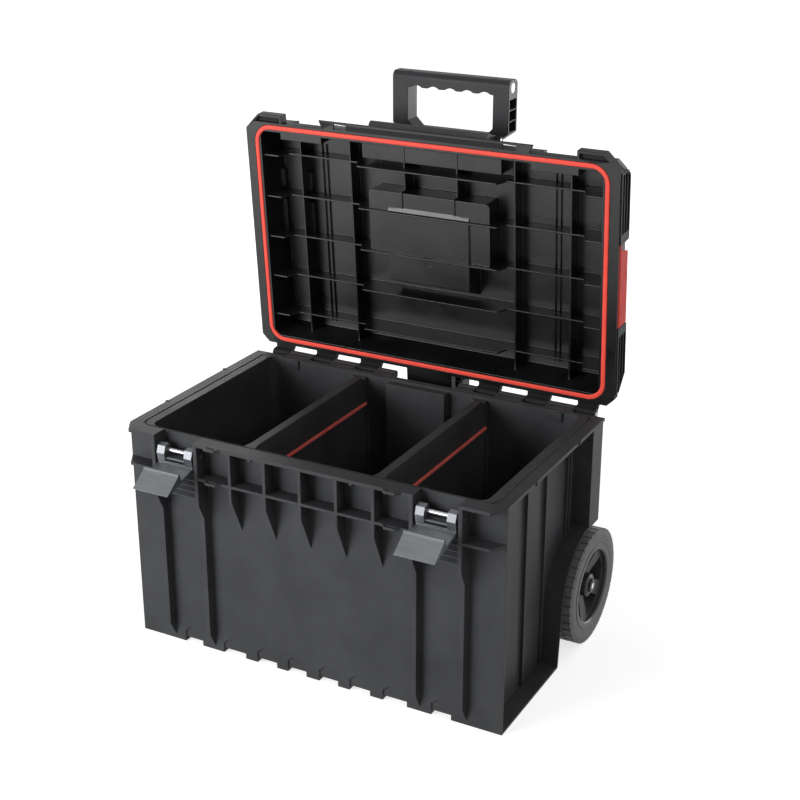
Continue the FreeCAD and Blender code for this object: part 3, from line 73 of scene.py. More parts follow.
# %% [markdown]
# The camera stands where the photographer stood: in front, to the right and above the rim.
# Its place and lens come from a fit to the corners of the rim, the tub and the lid's seal.
# The horizon is level, so the aim alone fixes how the camera is turned.

# %% Camera
EYE = Vector((0.98808, -1.72995, 1.18052))
AIM = Vector((-0.4389, 0.8155, -0.3774))
BOX_MIDDLE = Vector((0.0, 0.0, 0.35))
lens = bpy.data.cameras.new("studio_camera")
lens.lens = 69.21
lens.sensor_width = 36.0
camera = bpy.data.objects.new("studio_camera", lens)
camera.location = EYE
camera.rotation_euler = AIM.to_track_quat("-Z", "Y").to_euler()
scene.collection.objects.link(camera)
scene.camera = camera
print("camera", round((EYE - BOX_MIDDLE).length, 2), "m from the box")

# %% [markdown]
# One small function adds any node to any tree: settings by name, sockets by label or number.
# A value that is itself a socket is linked, anything else is typed into the socket.
# Colours are written as sRGB hex, as a paint shop would, and turned to linear light once.

# %% Helpers for node trees
def put(tree, kind, inputs=None, **settings):
    made = tree.nodes.new(kind)
    for name, value in settings.items():
        setattr(made, name, value)
    for key, value in (inputs or {}).items():
        socket = made.inputs[key]
        if isinstance(value, bpy.types.NodeSocket):
            tree.links.new(value, socket)
        else:
            socket.default_value = value
    return made


def linear(code):
    out = []
    for i in (1, 3, 5):
        c = int(code[i:i + 2], 16) / 255
        out.append(c / 12.92 if c <= 0.04045 else ((c + 0.055) / 1.055) ** 2.4)
    return (*out, 1.0)


def per(mm):
    """Texture scale for a feature of this size: object coordinates are in metres."""
    return 1000.0 / mm


def blank(name):
    """A new material with an empty tree, its object coordinates and its output."""
    made = bpy.data.materials.new(name)
    made.use_nodes = True
    tree = made.node_tree
    tree.nodes.clear()
    place = put(tree, "ShaderNodeTexCoord").outputs["Object"]
    return made, tree, place, put(tree, "ShaderNodeOutputMaterial")


print("middle grey in linear light:", round(linear("#808080")[0], 4))

# %% [markdown]
# Black polypropylene is injection moulded against a spark-eroded tool, so it has a fine even grain.
# The grain spreads the gloss: broad soft highlights, no mirror, and a faint cloudiness in the colour.
# A fine noise drives a shallow bump, and a slow noise varies the roughness as flow marks do. The real
# grain is finer than a pixel of the picture, so it is drawn 0.9 to 2.5 mm coarse to show at all.
# The tub is matt and grained, the inside of the lid is satin and darker, and its flange is dull. Rims
# are glass filled nylon, the pull grip is soft to the touch, and the plugs in its ends are polished.

# %% Black mouldings
FLOW_MM = 60


def moulded(name, dark, light, rough, grain_mm, depth_mm, shine, ior=1.49):
    made, tree, place, out = blank(name)
    flow = put(tree, "ShaderNodeTexNoise", {"Vector": place, "Scale": per(FLOW_MM), "Detail": 3.0})
    speck = put(tree, "ShaderNodeTexNoise", {"Vector": place, "Scale": per(grain_mm), "Detail": 2.0})
    cloud = put(tree, "ShaderNodeMath", {0: flow.outputs["Fac"], 1: speck.outputs["Fac"]},
                operation="MULTIPLY")
    colour = put(tree, "ShaderNodeValToRGB", {"Fac": cloud.outputs[0]})
    colour.color_ramp.elements[0].position = 0.12
    colour.color_ramp.elements[0].color = linear(dark)
    colour.color_ramp.elements[1].position = 0.42
    colour.color_ramp.elements[1].color = linear(light)
    gloss = put(tree, "ShaderNodeMapRange", {"Value": flow.outputs["Fac"], "From Min": 0.3, "From Max": 0.7,
                                             "To Min": rough - 0.05, "To Max": rough + 0.05})
    bump = put(tree, "ShaderNodeBump", {"Height": speck.outputs["Fac"], "Strength": 0.35,
                                        "Distance": depth_mm / 1000})
    skin = put(tree, "ShaderNodeBsdfPrincipled", {"Base Color": colour.outputs["Color"], "IOR": ior,
                                                  "Specular IOR Level": shine,
                                                  "Roughness": gloss.outputs["Result"],
                                                  "Normal": bump.outputs["Normal"]})
    tree.links.new(skin.outputs[0], out.inputs["Surface"])
    return made


grained_black = moulded("black grained polypropylene", "#323335", "#414244", rough=0.52,
                        grain_mm=1.7, depth_mm=0.3, shine=0.18)
satin_black = moulded("black satin polypropylene", "#0d0e0f", "#161718", rough=0.3,
                      grain_mm=1.6, depth_mm=0.03, shine=0.42)
flange_black = moulded("black matt polypropylene", "#141516", "#1f2021", rough=0.6,
                       grain_mm=0.9, depth_mm=0.06, shine=0.16)
nylon_black = moulded("black glass filled nylon", "#343537", "#444547", rough=0.46,
                      grain_mm=1.2, depth_mm=0.05, shine=0.4)
grip_black = moulded("black soft touch nylon", "#1c1d1f", "#28292b", rough=0.5,
                     grain_mm=0.9, depth_mm=0.06, shine=0.22)
gloss_black = moulded("black polished ABS", "#0e0f10", "#161718", rough=0.16,
                      grain_mm=2.5, depth_mm=0.01, shine=0.5, ior=1.53)
for plastic in (grained_black, satin_black, flange_black, nylon_black, grip_black, gloss_black):
    print("plastic:", plastic.name)

# %% [markdown]
# The red pieces are two different plastics. The seal and the strips on the dividers are a soft
# thermoplastic elastomer: matt, with a dry bloom at grazing angles. The strips' red is painted paler than the
# seal's, as painted light where the lamps hardly reach them.
# The side catches are harder ABS with a dull even skin and no bloom.

# %% Red elastomer and red ABS
WAVE_MM = 18
DUST_MM = 0.8


def red_plastic(name, dark, light, rough, sheen, shine):
    made, tree, place, out = blank(name)
    wave = put(tree, "ShaderNodeTexNoise", {"Vector": place, "Scale": per(WAVE_MM), "Detail": 4.0})
    dust = put(tree, "ShaderNodeTexNoise", {"Vector": place, "Scale": per(DUST_MM), "Detail": 2.0})
    colour = put(tree, "ShaderNodeValToRGB", {"Fac": wave.outputs["Fac"]})
    colour.color_ramp.elements[0].position = 0.3
    colour.color_ramp.elements[0].color = linear(dark)
    colour.color_ramp.elements[1].position = 0.7
    colour.color_ramp.elements[1].color = linear(light)
    gloss = put(tree, "ShaderNodeMapRange", {"Value": wave.outputs["Fac"], "To Min": rough - 0.08,
                                             "To Max": rough + 0.08})
    bump = put(tree, "ShaderNodeBump", {"Height": dust.outputs["Fac"], "Strength": 0.2, "Distance": 0.00004})
    skin = put(tree, "ShaderNodeBsdfPrincipled", {"Base Color": colour.outputs["Color"], "IOR": 1.5,
                                                  "Specular IOR Level": shine, "Sheen Weight": sheen,
                                                  "Roughness": gloss.outputs["Result"],
                                                  "Normal": bump.outputs["Normal"]})
    tree.links.new(skin.outputs[0], out.inputs["Surface"])
    return made


red_seal = red_plastic("red thermoplastic elastomer", "#e8402f", "#f24a38", rough=0.62, sheen=0.15, shine=0.5)
# The strips' paler red is painted light: a lighter copy of the seal's elastomer, for light that the lamps
# hardly give them.
red_strip_painted_light = red_plastic("red elastomer with painted light", "#f2564a", "#fb6a5c", rough=0.55, sheen=0.3, shine=0.3)
red_catch = red_plastic("red moulded ABS", "#de423a", "#e84e45", rough=0.5, sheen=0.0, shine=0.06)
print("reds:", red_seal.name, red_strip_painted_light.name, red_catch.name)

# %% [markdown]
# Two kinds of aluminium and three of steel. The clasps are a blasted extrusion, grey and even, with
# faint lines along it, and the mast tubes are black anodised. Rods, pins and screws are zinc plated
# and bright. The bars in the clasps are burnished to a duller grey, and the retaining rings are
# blackened. Fine lines run along one axis: a noise stretched to 40 mm there and under 1 mm across.

# %% Aluminium and steel
LINE_LENGTH_MM = 40
GRIT_MM = 0.7
ALONG_X = 0
ALONG_Z = 2


def metal(name, dark, light, rough, metallic, line_mm, line_axis):
    made, tree, place, out = blank(name)
    stretch = [per(line_mm)] * 3
    stretch[line_axis] = per(LINE_LENGTH_MM)
    drawn = put(tree, "ShaderNodeMapping", {"Vector": place, "Scale": stretch})
    lines = put(tree, "ShaderNodeTexNoise", {"Vector": drawn.outputs["Vector"], "Scale": 1.0, "Detail": 3.0})
    grit = put(tree, "ShaderNodeTexNoise", {"Vector": place, "Scale": per(GRIT_MM), "Detail": 2.0})
    mix = put(tree, "ShaderNodeMath", {0: lines.outputs["Fac"], 1: grit.outputs["Fac"]}, operation="MULTIPLY")
    colour = put(tree, "ShaderNodeValToRGB", {"Fac": mix.outputs[0]})
    colour.color_ramp.elements[0].position = 0.12
    colour.color_ramp.elements[0].color = linear(dark)
    colour.color_ramp.elements[1].position = 0.4
    colour.color_ramp.elements[1].color = linear(light)
    gloss = put(tree, "ShaderNodeMapRange", {"Value": lines.outputs["Fac"], "To Min": rough - 0.1,
                                             "To Max": rough + 0.1})
    bump = put(tree, "ShaderNodeBump", {"Height": mix.outputs[0], "Strength": 0.25, "Distance": 0.00003})
    skin = put(tree, "ShaderNodeBsdfPrincipled", {"Base Color": colour.outputs["Color"], "Metallic": metallic,
                                                  "Roughness": gloss.outputs["Result"],
                                                  "Normal": bump.outputs["Normal"]})
    tree.links.new(skin.outputs[0], out.inputs["Surface"])
    return made


clasp_metal = metal("blasted aluminium extrusion", "#626467", "#7a7c80", rough=0.5, metallic=1.0,
                    line_mm=0.8, line_axis=ALONG_X)
mast_metal = metal("black anodised aluminium", "#232427", "#303236", rough=0.36, metallic=0.85,
                   line_mm=0.6, line_axis=ALONG_Z)
zinc_steel = metal("zinc plated steel", "#9a9c9e", "#c4c6c8", rough=0.3, metallic=1.0,
                   line_mm=0.5, line_axis=ALONG_X)
bar_steel = metal("burnished steel", "#3a3c3f", "#505256", rough=0.5, metallic=1.0,
                  line_mm=0.5, line_axis=ALONG_X)
dark_steel = metal("blackened spring steel", "#26272a", "#36383b", rough=0.42, metallic=0.9,
                   line_mm=0.5, line_axis=ALONG_X)
print("metals:", clasp_metal.name, mast_metal.name, zinc_steel.name, bar_steel.name, dark_steel.name)

# %% [markdown]
# The wheel's finishes follow its axle line. A tyre is a dull moulded rubber, and rings from the mould
# run round its side wall, so the bump is a wave of the distance from that line. The axles are
# blackened too, but their ends were faced in a lathe afterwards, so the middle of an end is bright.

# %% Tyre rubber and axle steel
RING_MM = 2.4
RUBBER_DUST_MM = 9
BRIGHT_MM = 4.2
BRIGHT_FADE_MM = 0.4
tyre_low, tyre_high = (Vector(corner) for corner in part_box("tyre_right"))
AXLE = (tyre_low + tyre_high) / 2


def axle_distance(tree, place):
    """Distance of a point from the axle line, which a Mapping node puts at the origin."""
    centred = put(tree, "ShaderNodeMapping", {"Vector": place, "Location": (0.0, -AXLE.y, -AXLE.z)})
    flat = put(tree, "ShaderNodeVectorMath", {0: centred.outputs["Vector"], 1: (0.0, 1.0, 1.0)},
               operation="MULTIPLY")
    return put(tree, "ShaderNodeVectorMath", {0: flat.outputs["Vector"]}, operation="LENGTH").outputs["Value"]


def tyre_rubber(name, dark, light):
    made, tree, place, out = blank(name)
    turns = put(tree, "ShaderNodeMath", {0: axle_distance(tree, place), 1: 2 * math.pi * per(RING_MM)},
                operation="MULTIPLY")
    ring = put(tree, "ShaderNodeMath", {0: turns.outputs[0]}, operation="SINE")
    dust = put(tree, "ShaderNodeTexNoise", {"Vector": place, "Scale": per(RUBBER_DUST_MM), "Detail": 5.0})
    colour = put(tree, "ShaderNodeValToRGB", {"Fac": dust.outputs["Fac"]})
    colour.color_ramp.elements[0].position = 0.35
    colour.color_ramp.elements[0].color = linear(dark)
    colour.color_ramp.elements[1].position = 0.7
    colour.color_ramp.elements[1].color = linear(light)
    gloss = put(tree, "ShaderNodeMapRange", {"Value": dust.outputs["Fac"], "To Min": 0.6, "To Max": 0.8})
    bump = put(tree, "ShaderNodeBump", {"Height": ring.outputs[0], "Strength": 0.25, "Distance": 0.0001})
    skin = put(tree, "ShaderNodeBsdfPrincipled", {"Base Color": colour.outputs["Color"], "IOR": 1.52,
                                                  "Roughness": gloss.outputs["Result"],
                                                  "Normal": bump.outputs["Normal"]})
    tree.links.new(skin.outputs[0], out.inputs["Surface"])
    return made


def faced_end(made, bright):
    """Give a blackened bar its bright middle, where the end was faced."""
    tree = made.node_tree
    place = put(tree, "ShaderNodeTexCoord").outputs["Object"]
    edge = put(tree, "ShaderNodeMapRange", {"Value": axle_distance(tree, place), "From Min": BRIGHT_MM / 1000,
                                            "From Max": (BRIGHT_MM + BRIGHT_FADE_MM) / 1000})
    skin = next(n for n in tree.nodes if n.type == "BSDF_PRINCIPLED")
    black = skin.inputs["Base Color"].links[0].from_socket
    shade = put(tree, "ShaderNodeMix", {"Factor": edge.outputs["Result"], "A": linear(bright), "B": black},
                data_type="RGBA")
    tree.links.new(shade.outputs["Result"], skin.inputs["Base Color"])


rubber = tyre_rubber("black tyre rubber", "#565759", "#6a6b6d")
axle_steel = metal("blackened axle steel", "#26272a", "#36383b", rough=0.42, metallic=0.9,
                   line_mm=0.5, line_axis=ALONG_X)
faced_end(axle_steel, "#d0d2d4")
print(rubber.name, "and", axle_steel.name, "round an axle", round(AXLE.z * 1000), "mm above the floor")

# %% [markdown]
# A mould or a die leaves no sharp corner: every edge is rolled over by half a millimetre or so, and
# those small radii catch the light. A CAD node has sharp edges, so a copy of it stands in its place.
# The copy is merged, the triangles of each flat are joined, and the edges get a bevel as wide as
# the room beside them. A flat with a hole in it can't be one polygon, so a group of triangles stops
# growing before it would close round a hole, and the next group takes what is left. A group is a
# dictionary, because that keeps the order in which its triangles were found, and so every run of the
# script joins them in the same way.

# %% Join the triangles of a flat
FLAT = math.radians(0.3)
SHARP = math.radians(32)
MERGE = 0.000002


def flat_groups(work):
    """Groups of neighbouring triangles in one plane, each with a single outline."""
    left = set(work.faces)
    groups = []
    for seed in list(work.faces):
        if seed not in left:
            continue
        left.discard(seed)
        group = {seed: None}
        corners = set(seed.verts)
        queue = list(seed.edges)
        for edge in queue:
            for face in edge.link_faces:
                if face not in left or face.normal.angle(seed.normal, 1.0) > FLAT:
                    continue
                shared = sum(any(f in group for f in e.link_faces) for e in face.edges)
                if shared == 1 and all(v in corners for v in face.verts):
                    continue
                left.discard(face)
                group[face] = None
                corners.update(face.verts)
                queue.extend(face.edges)
        groups.append(list(group))
    return groups


def join_flats(work):
    for group in flat_groups(work):
        if len(group) > 1:
            bmesh.utils.face_join(group)
    for corner in list(work.verts):
        if corner.is_valid and len(corner.link_edges) == 2 and corner.calc_edge_angle(1.0) < FLAT:
            bmesh.utils.vert_collapse_edge(corner, corner.link_edges[0])


# %% [markdown]
# A bevel that is wider than its room runs into its neighbour. Edges that carry on from each other, as
# round a curve, form a run and share one width, so that a radius doesn't change half way along. A face
# between two runs has to hold a bevel on each side and a little flat between them.

# %% How wide each edge may be rolled
STRAIGHT_ON = -0.8
ROOM_NEEDED = 2.4


def carries_on(edge, corner, edges):
    """The edge that goes on from this one past a corner in nearly the same line, if there is one."""
    along = (edge.other_vert(corner).co - corner.co).normalized()
    for other in corner.link_edges:
        if other is not edge and other in edges:
            away = (other.other_vert(corner).co - corner.co).normalized()
            if along.dot(away) < STRAIGHT_ON:
                return other
    return None


def run_numbers(edges):
    """Number the runs: edges that carry on from each other, round a curve too, share one number."""
    number = {}
    for count, start in enumerate(edges):
        waiting = [start]
        for edge in waiting:
            if edge not in number:
                number[edge] = count
                waiting += [e for e in (carries_on(edge, v, edges) for v in edge.verts) if e]
    return number


def room_beside(work, number):
    """For each run, how near the corners of another run come to it on one face."""
    room = dict.fromkeys(number.values(), 1.0)
    for face in work.faces:
        ring = [e for e in face.edges if e in number]
        touching = {v: {number[e] for e in v.link_edges if e in number} for v in face.verts}
        for edge in ring:
            ends = [v.co for v in edge.verts]
            for corner in face.verts:
                if number[edge] in touching[corner]:
                    continue
                foot, along = intersect_point_line(corner.co, *ends)
                foot = ends[0] if along < 0 else ends[1] if along > 1 else foot
                gap = (corner.co - foot).length
                for run in touching[corner] | {number[edge]}:
                    room[run] = min(room[run], gap)
    return room


def roll_widths(work, width):
    """Share of the full width for each sharp edge, even along a curved run of edges."""
    edges = {e: None for e in work.edges if len(e.link_faces) == 2 and e.calc_face_angle(0.0) > SHARP}
    number = run_numbers(edges)
    room = room_beside(work, number)
    return {e: min(1.0, room[number[e]] / (ROOM_NEEDED * width)) for e in edges}


# %% [markdown]
# A bevel can still go wrong where three small forms meet: a polygon folds over itself, or a corner is
# thrown off the surface. Both are easy to measure, so the bevel is tried, the wrong spots are looked
# up, the edges beside them stay sharp, and it is tried again until the piece is clean.

# %% Find where a bevel went wrong
STRAY = 0.8
FOLD_AREA = 2e-8
SPOTS_AT_ONCE = 200
TINY = 1e-15


def wrong_spots(mesh, skin, width):
    """Corners of polygons that fold over themselves or stand off the CAD skin."""
    off = [skin.find_nearest(v.co)[3] > STRAY * width for v in mesh.vertices]
    spots = set()
    mesh.calc_loop_triangles()
    for piece in mesh.loop_triangles:
        flat = mesh.polygons[piece.polygon_index]
        folded = piece.area > FOLD_AREA and piece.normal.dot(flat.normal) < 0.0
        if folded or any(off[i] for i in piece.vertices):
            spots.update(flat.vertices)
    return np.array([mesh.vertices[i].co for i in spots])


def near_spots(edges, spots, reach):
    """Which edges pass a wrong spot within this reach."""
    start = np.array([e.verts[0].co for e in edges])[:, None]
    along = np.array([e.verts[1].co - e.verts[0].co for e in edges])[:, None]
    found = np.zeros(len(edges), bool)
    for part in np.array_split(spots, 1 + len(spots) // SPOTS_AT_ONCE):
        share = ((part - start) * along).sum(2) / np.maximum((along * along).sum(2), TINY)
        foot = start + along * share.clip(0.0, 1.0)[..., None]
        found |= (np.linalg.norm(part - foot, axis=2) < reach).any(1)
    return found


# %% [markdown]
# The rolled copy is one plain mesh: the modifiers are tried on it, turned into geometry and taken off.
# Weighted normals keep the large flats flat, so that only the rolled edge itself bends the light.

# %% Make the rolled copy
GOES = 6


def settle(piece):
    """Turn the modifiers' result into a plain mesh and take the modifiers off."""
    graph = bpy.context.evaluated_depsgraph_get()
    made = bpy.data.meshes.new_from_object(piece.evaluated_get(graph))
    piece.modifiers.clear()
    piece.data = made


def finish_piece(piece, finish, body):
    piece.data.materials.clear()
    piece.data.materials.append(finish)
    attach(piece, body)


def bevelled(piece, mesh, width):
    piece.data = mesh
    edge_roll = piece.modifiers.new("rolled edges", "BEVEL")
    edge_roll.limit_method = "WEIGHT"
    edge_roll.width = width
    edge_roll.segments = 2
    edge_roll.use_clamp_overlap = False
    edge_roll.loop_slide = False
    settle(piece)


def rolled(name, width, finish):
    """A copy of a CAD node with rolled edges, which replaces the node."""
    body = cad[name]["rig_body"]
    mesh = cad[name].data.copy()
    work = bmesh.new()
    work.from_mesh(mesh)
    bmesh.ops.remove_doubles(work, verts=work.verts, dist=MERGE)
    join_flats(work)
    for flat in work.faces:
        flat.smooth = True
    weight = work.edges.layers.float.new("bevel_weight_edge")
    shares = roll_widths(work, width)
    skin = BVHTree.FromBMesh(work)
    piece = bpy.data.objects.new(name + "_rolled", mesh)
    scene.collection.objects.link(piece)
    for attempt in range(GOES):
        for edge, share in shares.items():
            edge[weight] = share
            edge.smooth = share > 0.0
        work.to_mesh(mesh)
        bevelled(piece, mesh, width)
        spots = wrong_spots(piece.data, skin, width)
        if not len(spots):
            break
        edges = list(shares)
        for edge, near in zip(edges, near_spots(edges, spots, (1 + attempt) * width)):
            shares[edge] = 0.0 if near else shares[edge]
    sharp = sum(share == 0.0 for share in shares.values())
    print(name, "rolled in", attempt + 1, "goes,", sharp, "of", len(shares), "edges sharp,",
          len(spots), "spots left")
    work.free()
    even = piece.modifiers.new("even shading", "WEIGHTED_NORMAL")
    even.weight = 100
    even.thresh = 0.0001
    even.keep_sharp = True
    settle(piece)
    finish_piece(piece, finish, body)
    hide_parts(name)
    return piece


# %% [markdown]
# The tub and the lid are the two large mouldings. The inside of the lid has a smoother skin than the
# tub, so it is satin. Its flange, outside the seal, and its outer skin are dull, so each polygon of
# the lid takes its finish from where it lies: inside the loop of the seal or not.

# %% Large mouldings
LARGE_ROLL = 0.0007
SEAL_MARGIN = 0.006
ACROSS_AND_UP = (0, 2)
tub = rolled("tub", LARGE_ROLL, grained_black)
lid = rolled("lid", LARGE_ROLL, satin_black)
lid.data.materials.append(flange_black)
seal_low, seal_high = (Vector(corner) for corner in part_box("lid_seal"))
for flat in lid.data.polygons:
    inside = all(seal_low[i] + SEAL_MARGIN < flat.center[i] < seal_high[i] - SEAL_MARGIN
                 for i in ACROSS_AND_UP)
    flat.material_index = 0 if inside else 1
print("tub", len(tub.data.polygons), "faces, lid", len(lid.data.polygons), "faces")

# %% [markdown]
# The recesses for the clasps have flat side walls, and the lid's front leans back between them. On a
# moulded lid the walls run out on that slope, so their free corners are drawn back to it here. The
# sum is done for the closed lid, where the front wall is easy to describe.

# %% Run the recess walls out on the slope
OPEN = math.radians(85.72)
HINGE = Vector((0.0, 0.193, 0.3305))
SHUT = Matrix.Translation(HINGE) @ Matrix.Rotation(OPEN, 4, "X") @ Matrix.Translation(-HINGE)
LID_FRONT = -0.179
LID_LOW = 0.3365
LID_HIGH = 0.3865
LEAN = 0.009
PROUD = 0.0004
FRONT_SLACK = 0.0005
RECESS_WALLS = (0.1685, 0.2355)
WALL_REACH = 0.0024
FREE_ABOVE = 0.3497
drawn_back = 0
for corner in lid.data.vertices:
    shut = SHUT @ corner.co
    slope = LID_FRONT + LEAN * (shut.z - LID_LOW) / (LID_HIGH - LID_LOW) - PROUD
    beside = min(abs(abs(shut.x) - wall) for wall in RECESS_WALLS) < WALL_REACH
    if beside and shut.z > FREE_ABOVE and LID_FRONT - FRONT_SLACK < shut.y < slope:
        shut.y = slope
        corner.co = SHUT.inverted() @ shut
        drawn_back += 1
print(drawn_back, "corners drawn back")

# %% [markdown]
# The small mouldings get the same treatment with their own finishes. The clasps are extruded, so their
# edges are the crispest. The rims are turned on their axles until the spokes stand as they do in the
# picture. A wheel may stop at any angle, so nothing else depends on it.

# %% Small mouldings
SMALL_ROLL = 0.0006
SOFT_ROLL = 0.0008
CRISP_ROLL = 0.0005
SPOKE_ANGLE = math.radians(-30)
TO_AXLE = Matrix.Translation((0, AXLE.y, AXLE.z))
FROM_AXLE = Matrix.Translation((0, -AXLE.y, -AXLE.z))
SPOKE_TURN = TO_AXLE @ Matrix.Rotation(SPOKE_ANGLE, 4, "X") @ FROM_AXLE
for name in ("divider_left", "divider_right", "mast_housing", "carry_handle", "mast_collar", "mast_shoe"):
    rolled(name, SMALL_ROLL, grained_black)
rolled("pull_grip", SOFT_ROLL, grip_black)
rolled("grip_plugs", SMALL_ROLL, gloss_black)
for name in ("side_catch_left", "side_catch_right"):
    rolled(name, SMALL_ROLL, red_catch)
for name in ("clasp_left", "clasp_right"):
    rolled(name, CRISP_ROLL, clasp_metal)
for name in ("wheel_rim_left", "wheel_rim_right"):
    rolled(name, SMALL_ROLL, nylon_black).data.transform(SPOKE_TURN)
for name in ("divider_trim_left", "divider_trim_right"):
    rolled(name, SOFT_ROLL, red_strip_painted_light)

# %% [markdown]
# What repeats or follows a path is drawn by Geometry Nodes. Each tree has named inputs for its sizes
# in metres and a finish, and ends in Realize Instances and Set Material, so the result is one plain
# mesh. Sizes are set by the socket's identifier before the object is first evaluated.

# %% Helpers for geometry trees
def grower(name, sizes):
    """A tree with one input for each size, and the sockets of its Group Input node."""
    tree = bpy.data.node_groups.new(name, "GeometryNodeTree")
    tree.interface.new_socket("Geometry", in_out="OUTPUT", socket_type="NodeSocketGeometry")
    kinds = {int: "NodeSocketInt", float: "NodeSocketFloat", tuple: "NodeSocketVector"}
    for label, value in sizes.items():
        socket = tree.interface.new_socket(label, in_out="INPUT", socket_type=kinds[type(value)])
        socket.default_value = value
    tree.interface.new_socket("Finish", in_out="INPUT", socket_type="NodeSocketMaterial")
    return tree, put(tree, "NodeGroupInput").outputs


def end_tree(tree, shape, sizes):
    """Place the shape, make it real and dress it."""
    placed = put(tree, "GeometryNodeTransform", {"Geometry": shape, "Rotation": sizes["Turn"],
                                                 "Translation": sizes["Place"]})
    real = put(tree, "GeometryNodeRealizeInstances", {0: placed.outputs[0]})
    dressed = put(tree, "GeometryNodeSetMaterial", {0: real.outputs[0], "Material": sizes["Finish"]})
    put(tree, "NodeGroupOutput", {0: dressed.outputs[0]})


def grown(name, tree, sizes, finish, body):
    piece = bpy.data.objects.new(name, bpy.data.meshes.new(name))
    scene.collection.objects.link(piece)
    growth = piece.modifiers.new("growth", "NODES")
    growth.node_group = tree
    for item in tree.interface.items_tree:
        if item.in_out == "INPUT":
            growth[item.identifier] = finish if item.name == "Finish" else sizes[item.name]
    settle(piece)
    work = bmesh.new()
    work.from_mesh(piece.data)
    bmesh.ops.remove_doubles(work, verts=work.verts, dist=MERGE)
    bmesh.ops.recalc_face_normals(work, faces=work.faces)
    for edge in work.edges:
        edge.smooth = edge.calc_face_angle(0.0) < SHARP
    for flat in work.faces:
        flat.smooth = True
    work.to_mesh(piece.data)
    work.free()
    finish_piece(piece, finish, body)
    return piece


def misfit(piece, node):
    """Largest difference in millimetres between a piece's box and its node's box."""
    corners = [v.co for v in piece.data.vertices]
    mine = [[pick(c[i] for c in corners) for i in range(3)] for pick in (min, max)]
    return max(1000 * abs(a - b) for m, n in zip(mine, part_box(node)) for a, b in zip(m, n))


# %% [markdown]
# The lid's seal is one soft strip in a closed loop: a rounded rectangle is the path and a small rounded
# rectangle the section. The loop is drawn flat and then tilted to the open lid.

# %% Lid seal
STRIP_WIDE = 0.0068
STRIP_HIGH = 0.0045
seal_rise = seal_high.z - seal_low.z
seal_sizes = {"Width": seal_high.x - seal_low.x - STRIP_WIDE,
              "Length": (seal_rise - STRIP_HIGH * math.cos(OPEN)) / math.sin(OPEN) - STRIP_WIDE,
              "Corner": 0.024, "Strip Width": STRIP_WIDE, "Strip Height": STRIP_HIGH, "Strip Corner": 0.0016,
              "Turn": (-OPEN, 0.0, 0.0), "Place": tuple((seal_low + seal_high) / 2)}
tree, sizes = grower("seal_growth", seal_sizes)
loop = put(tree, "GeometryNodeCurvePrimitiveQuadrilateral", {"Width": sizes["Width"],
                                                             "Height": sizes["Length"]})
loop = put(tree, "GeometryNodeFilletCurve", {"Curve": loop.outputs[0], "Count": 12,
                                             "Radius": sizes["Corner"]}, mode="POLY")
loop = put(tree, "GeometryNodeSetCurveNormal", {"Curve": loop.outputs[0]}, mode="Z_UP")
section = put(tree, "GeometryNodeCurvePrimitiveQuadrilateral", {"Width": sizes["Strip Width"],
                                                                "Height": sizes["Strip Height"]})
section = put(tree, "GeometryNodeFilletCurve", {"Curve": section.outputs[0], "Count": 4,
                                                "Radius": sizes["Strip Corner"]}, mode="POLY")
strip = put(tree, "GeometryNodeCurveToMesh", {"Curve": loop.outputs[0], "Profile Curve": section.outputs[0]})
end_tree(tree, strip.outputs[0], sizes)
seal = grown("lid_seal_strip", tree, seal_sizes, red_seal, "lid_body")
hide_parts("lid_seal")
print("seal", len(seal.data.polygons), "faces, off by", round(misfit(seal, "lid_seal"), 2), "mm")

# %% [markdown]
# A block that repeats round a circle makes both the tread and the teeth on the hub. Its tree puts one
# tapered block on every point of a circle and turns each block outwards. A cone with four sides is
# such a block: its radius is half the diagonal of the square at that end.

# %% Blocks round a circle
BASE_CORNER = 0.7071
TOP_CORNER = 0.62
TREAD_BLOCKS = 38
BLOCKS = {"Count": TREAD_BLOCKS, "Reach": 0.086, "Depth": 0.01, "Breadth": 0.008, "Length": 0.015,
          "Along": 0.0, "Step": 0.0}
ring, sizes = grower("block_ring", BLOCKS)
block = put(ring, "GeometryNodeMeshCone", {"Vertices": 4, "Radius Top": TOP_CORNER,
                                           "Radius Bottom": BASE_CORNER, "Depth": 1.0})
shape = put(ring, "ShaderNodeCombineXYZ", {"X": sizes["Breadth"], "Y": sizes["Length"], "Z": sizes["Depth"]})
block = put(ring, "GeometryNodeTransform", {"Geometry": block.outputs[0], "Rotation": (0, 0, math.pi / 4),
                                            "Translation": (0, 0, -1.0)})
block = put(ring, "GeometryNodeTransform", {"Geometry": block.outputs[0], "Scale": shape.outputs[0]})
block = put(ring, "GeometryNodeTransform", {"Geometry": block.outputs[0],
                                            "Rotation": (math.pi / 2, 0, math.pi / 2)})
spots = put(ring, "GeometryNodeMeshCircle", {"Vertices": sizes["Count"], "Radius": sizes["Reach"]})
outwards = put(ring, "GeometryNodeInputPosition")
turned = put(ring, "FunctionNodeAlignRotationToVector", {"Vector": outwards.outputs[0]}, axis="X")
blocks = put(ring, "GeometryNodeInstanceOnPoints", {"Points": spots.outputs[0], "Instance": block.outputs[0],
                                                    "Rotation": turned.outputs[0]})
lift = put(ring, "ShaderNodeCombineXYZ", {"Z": sizes["Along"]})
swing = put(ring, "ShaderNodeCombineXYZ", {"Z": sizes["Step"]})
moved = put(ring, "GeometryNodeTransform", {"Geometry": blocks.outputs[0], "Translation": lift.outputs[0],
                                            "Rotation": swing.outputs[0]})
put(ring, "NodeGroupOutput", {0: moved.outputs[0]})
print("block ring:", len(ring.nodes), "nodes")

# %% [markdown]
# The tyre is a rounded section swept round the axle, with a row of blocks in the middle and a row on
# each shoulder, half a step out of line. A block's top is flat, so its corners stand a little further
# from the axle than its middle: the rows are set in by that much, to stay on the floor.

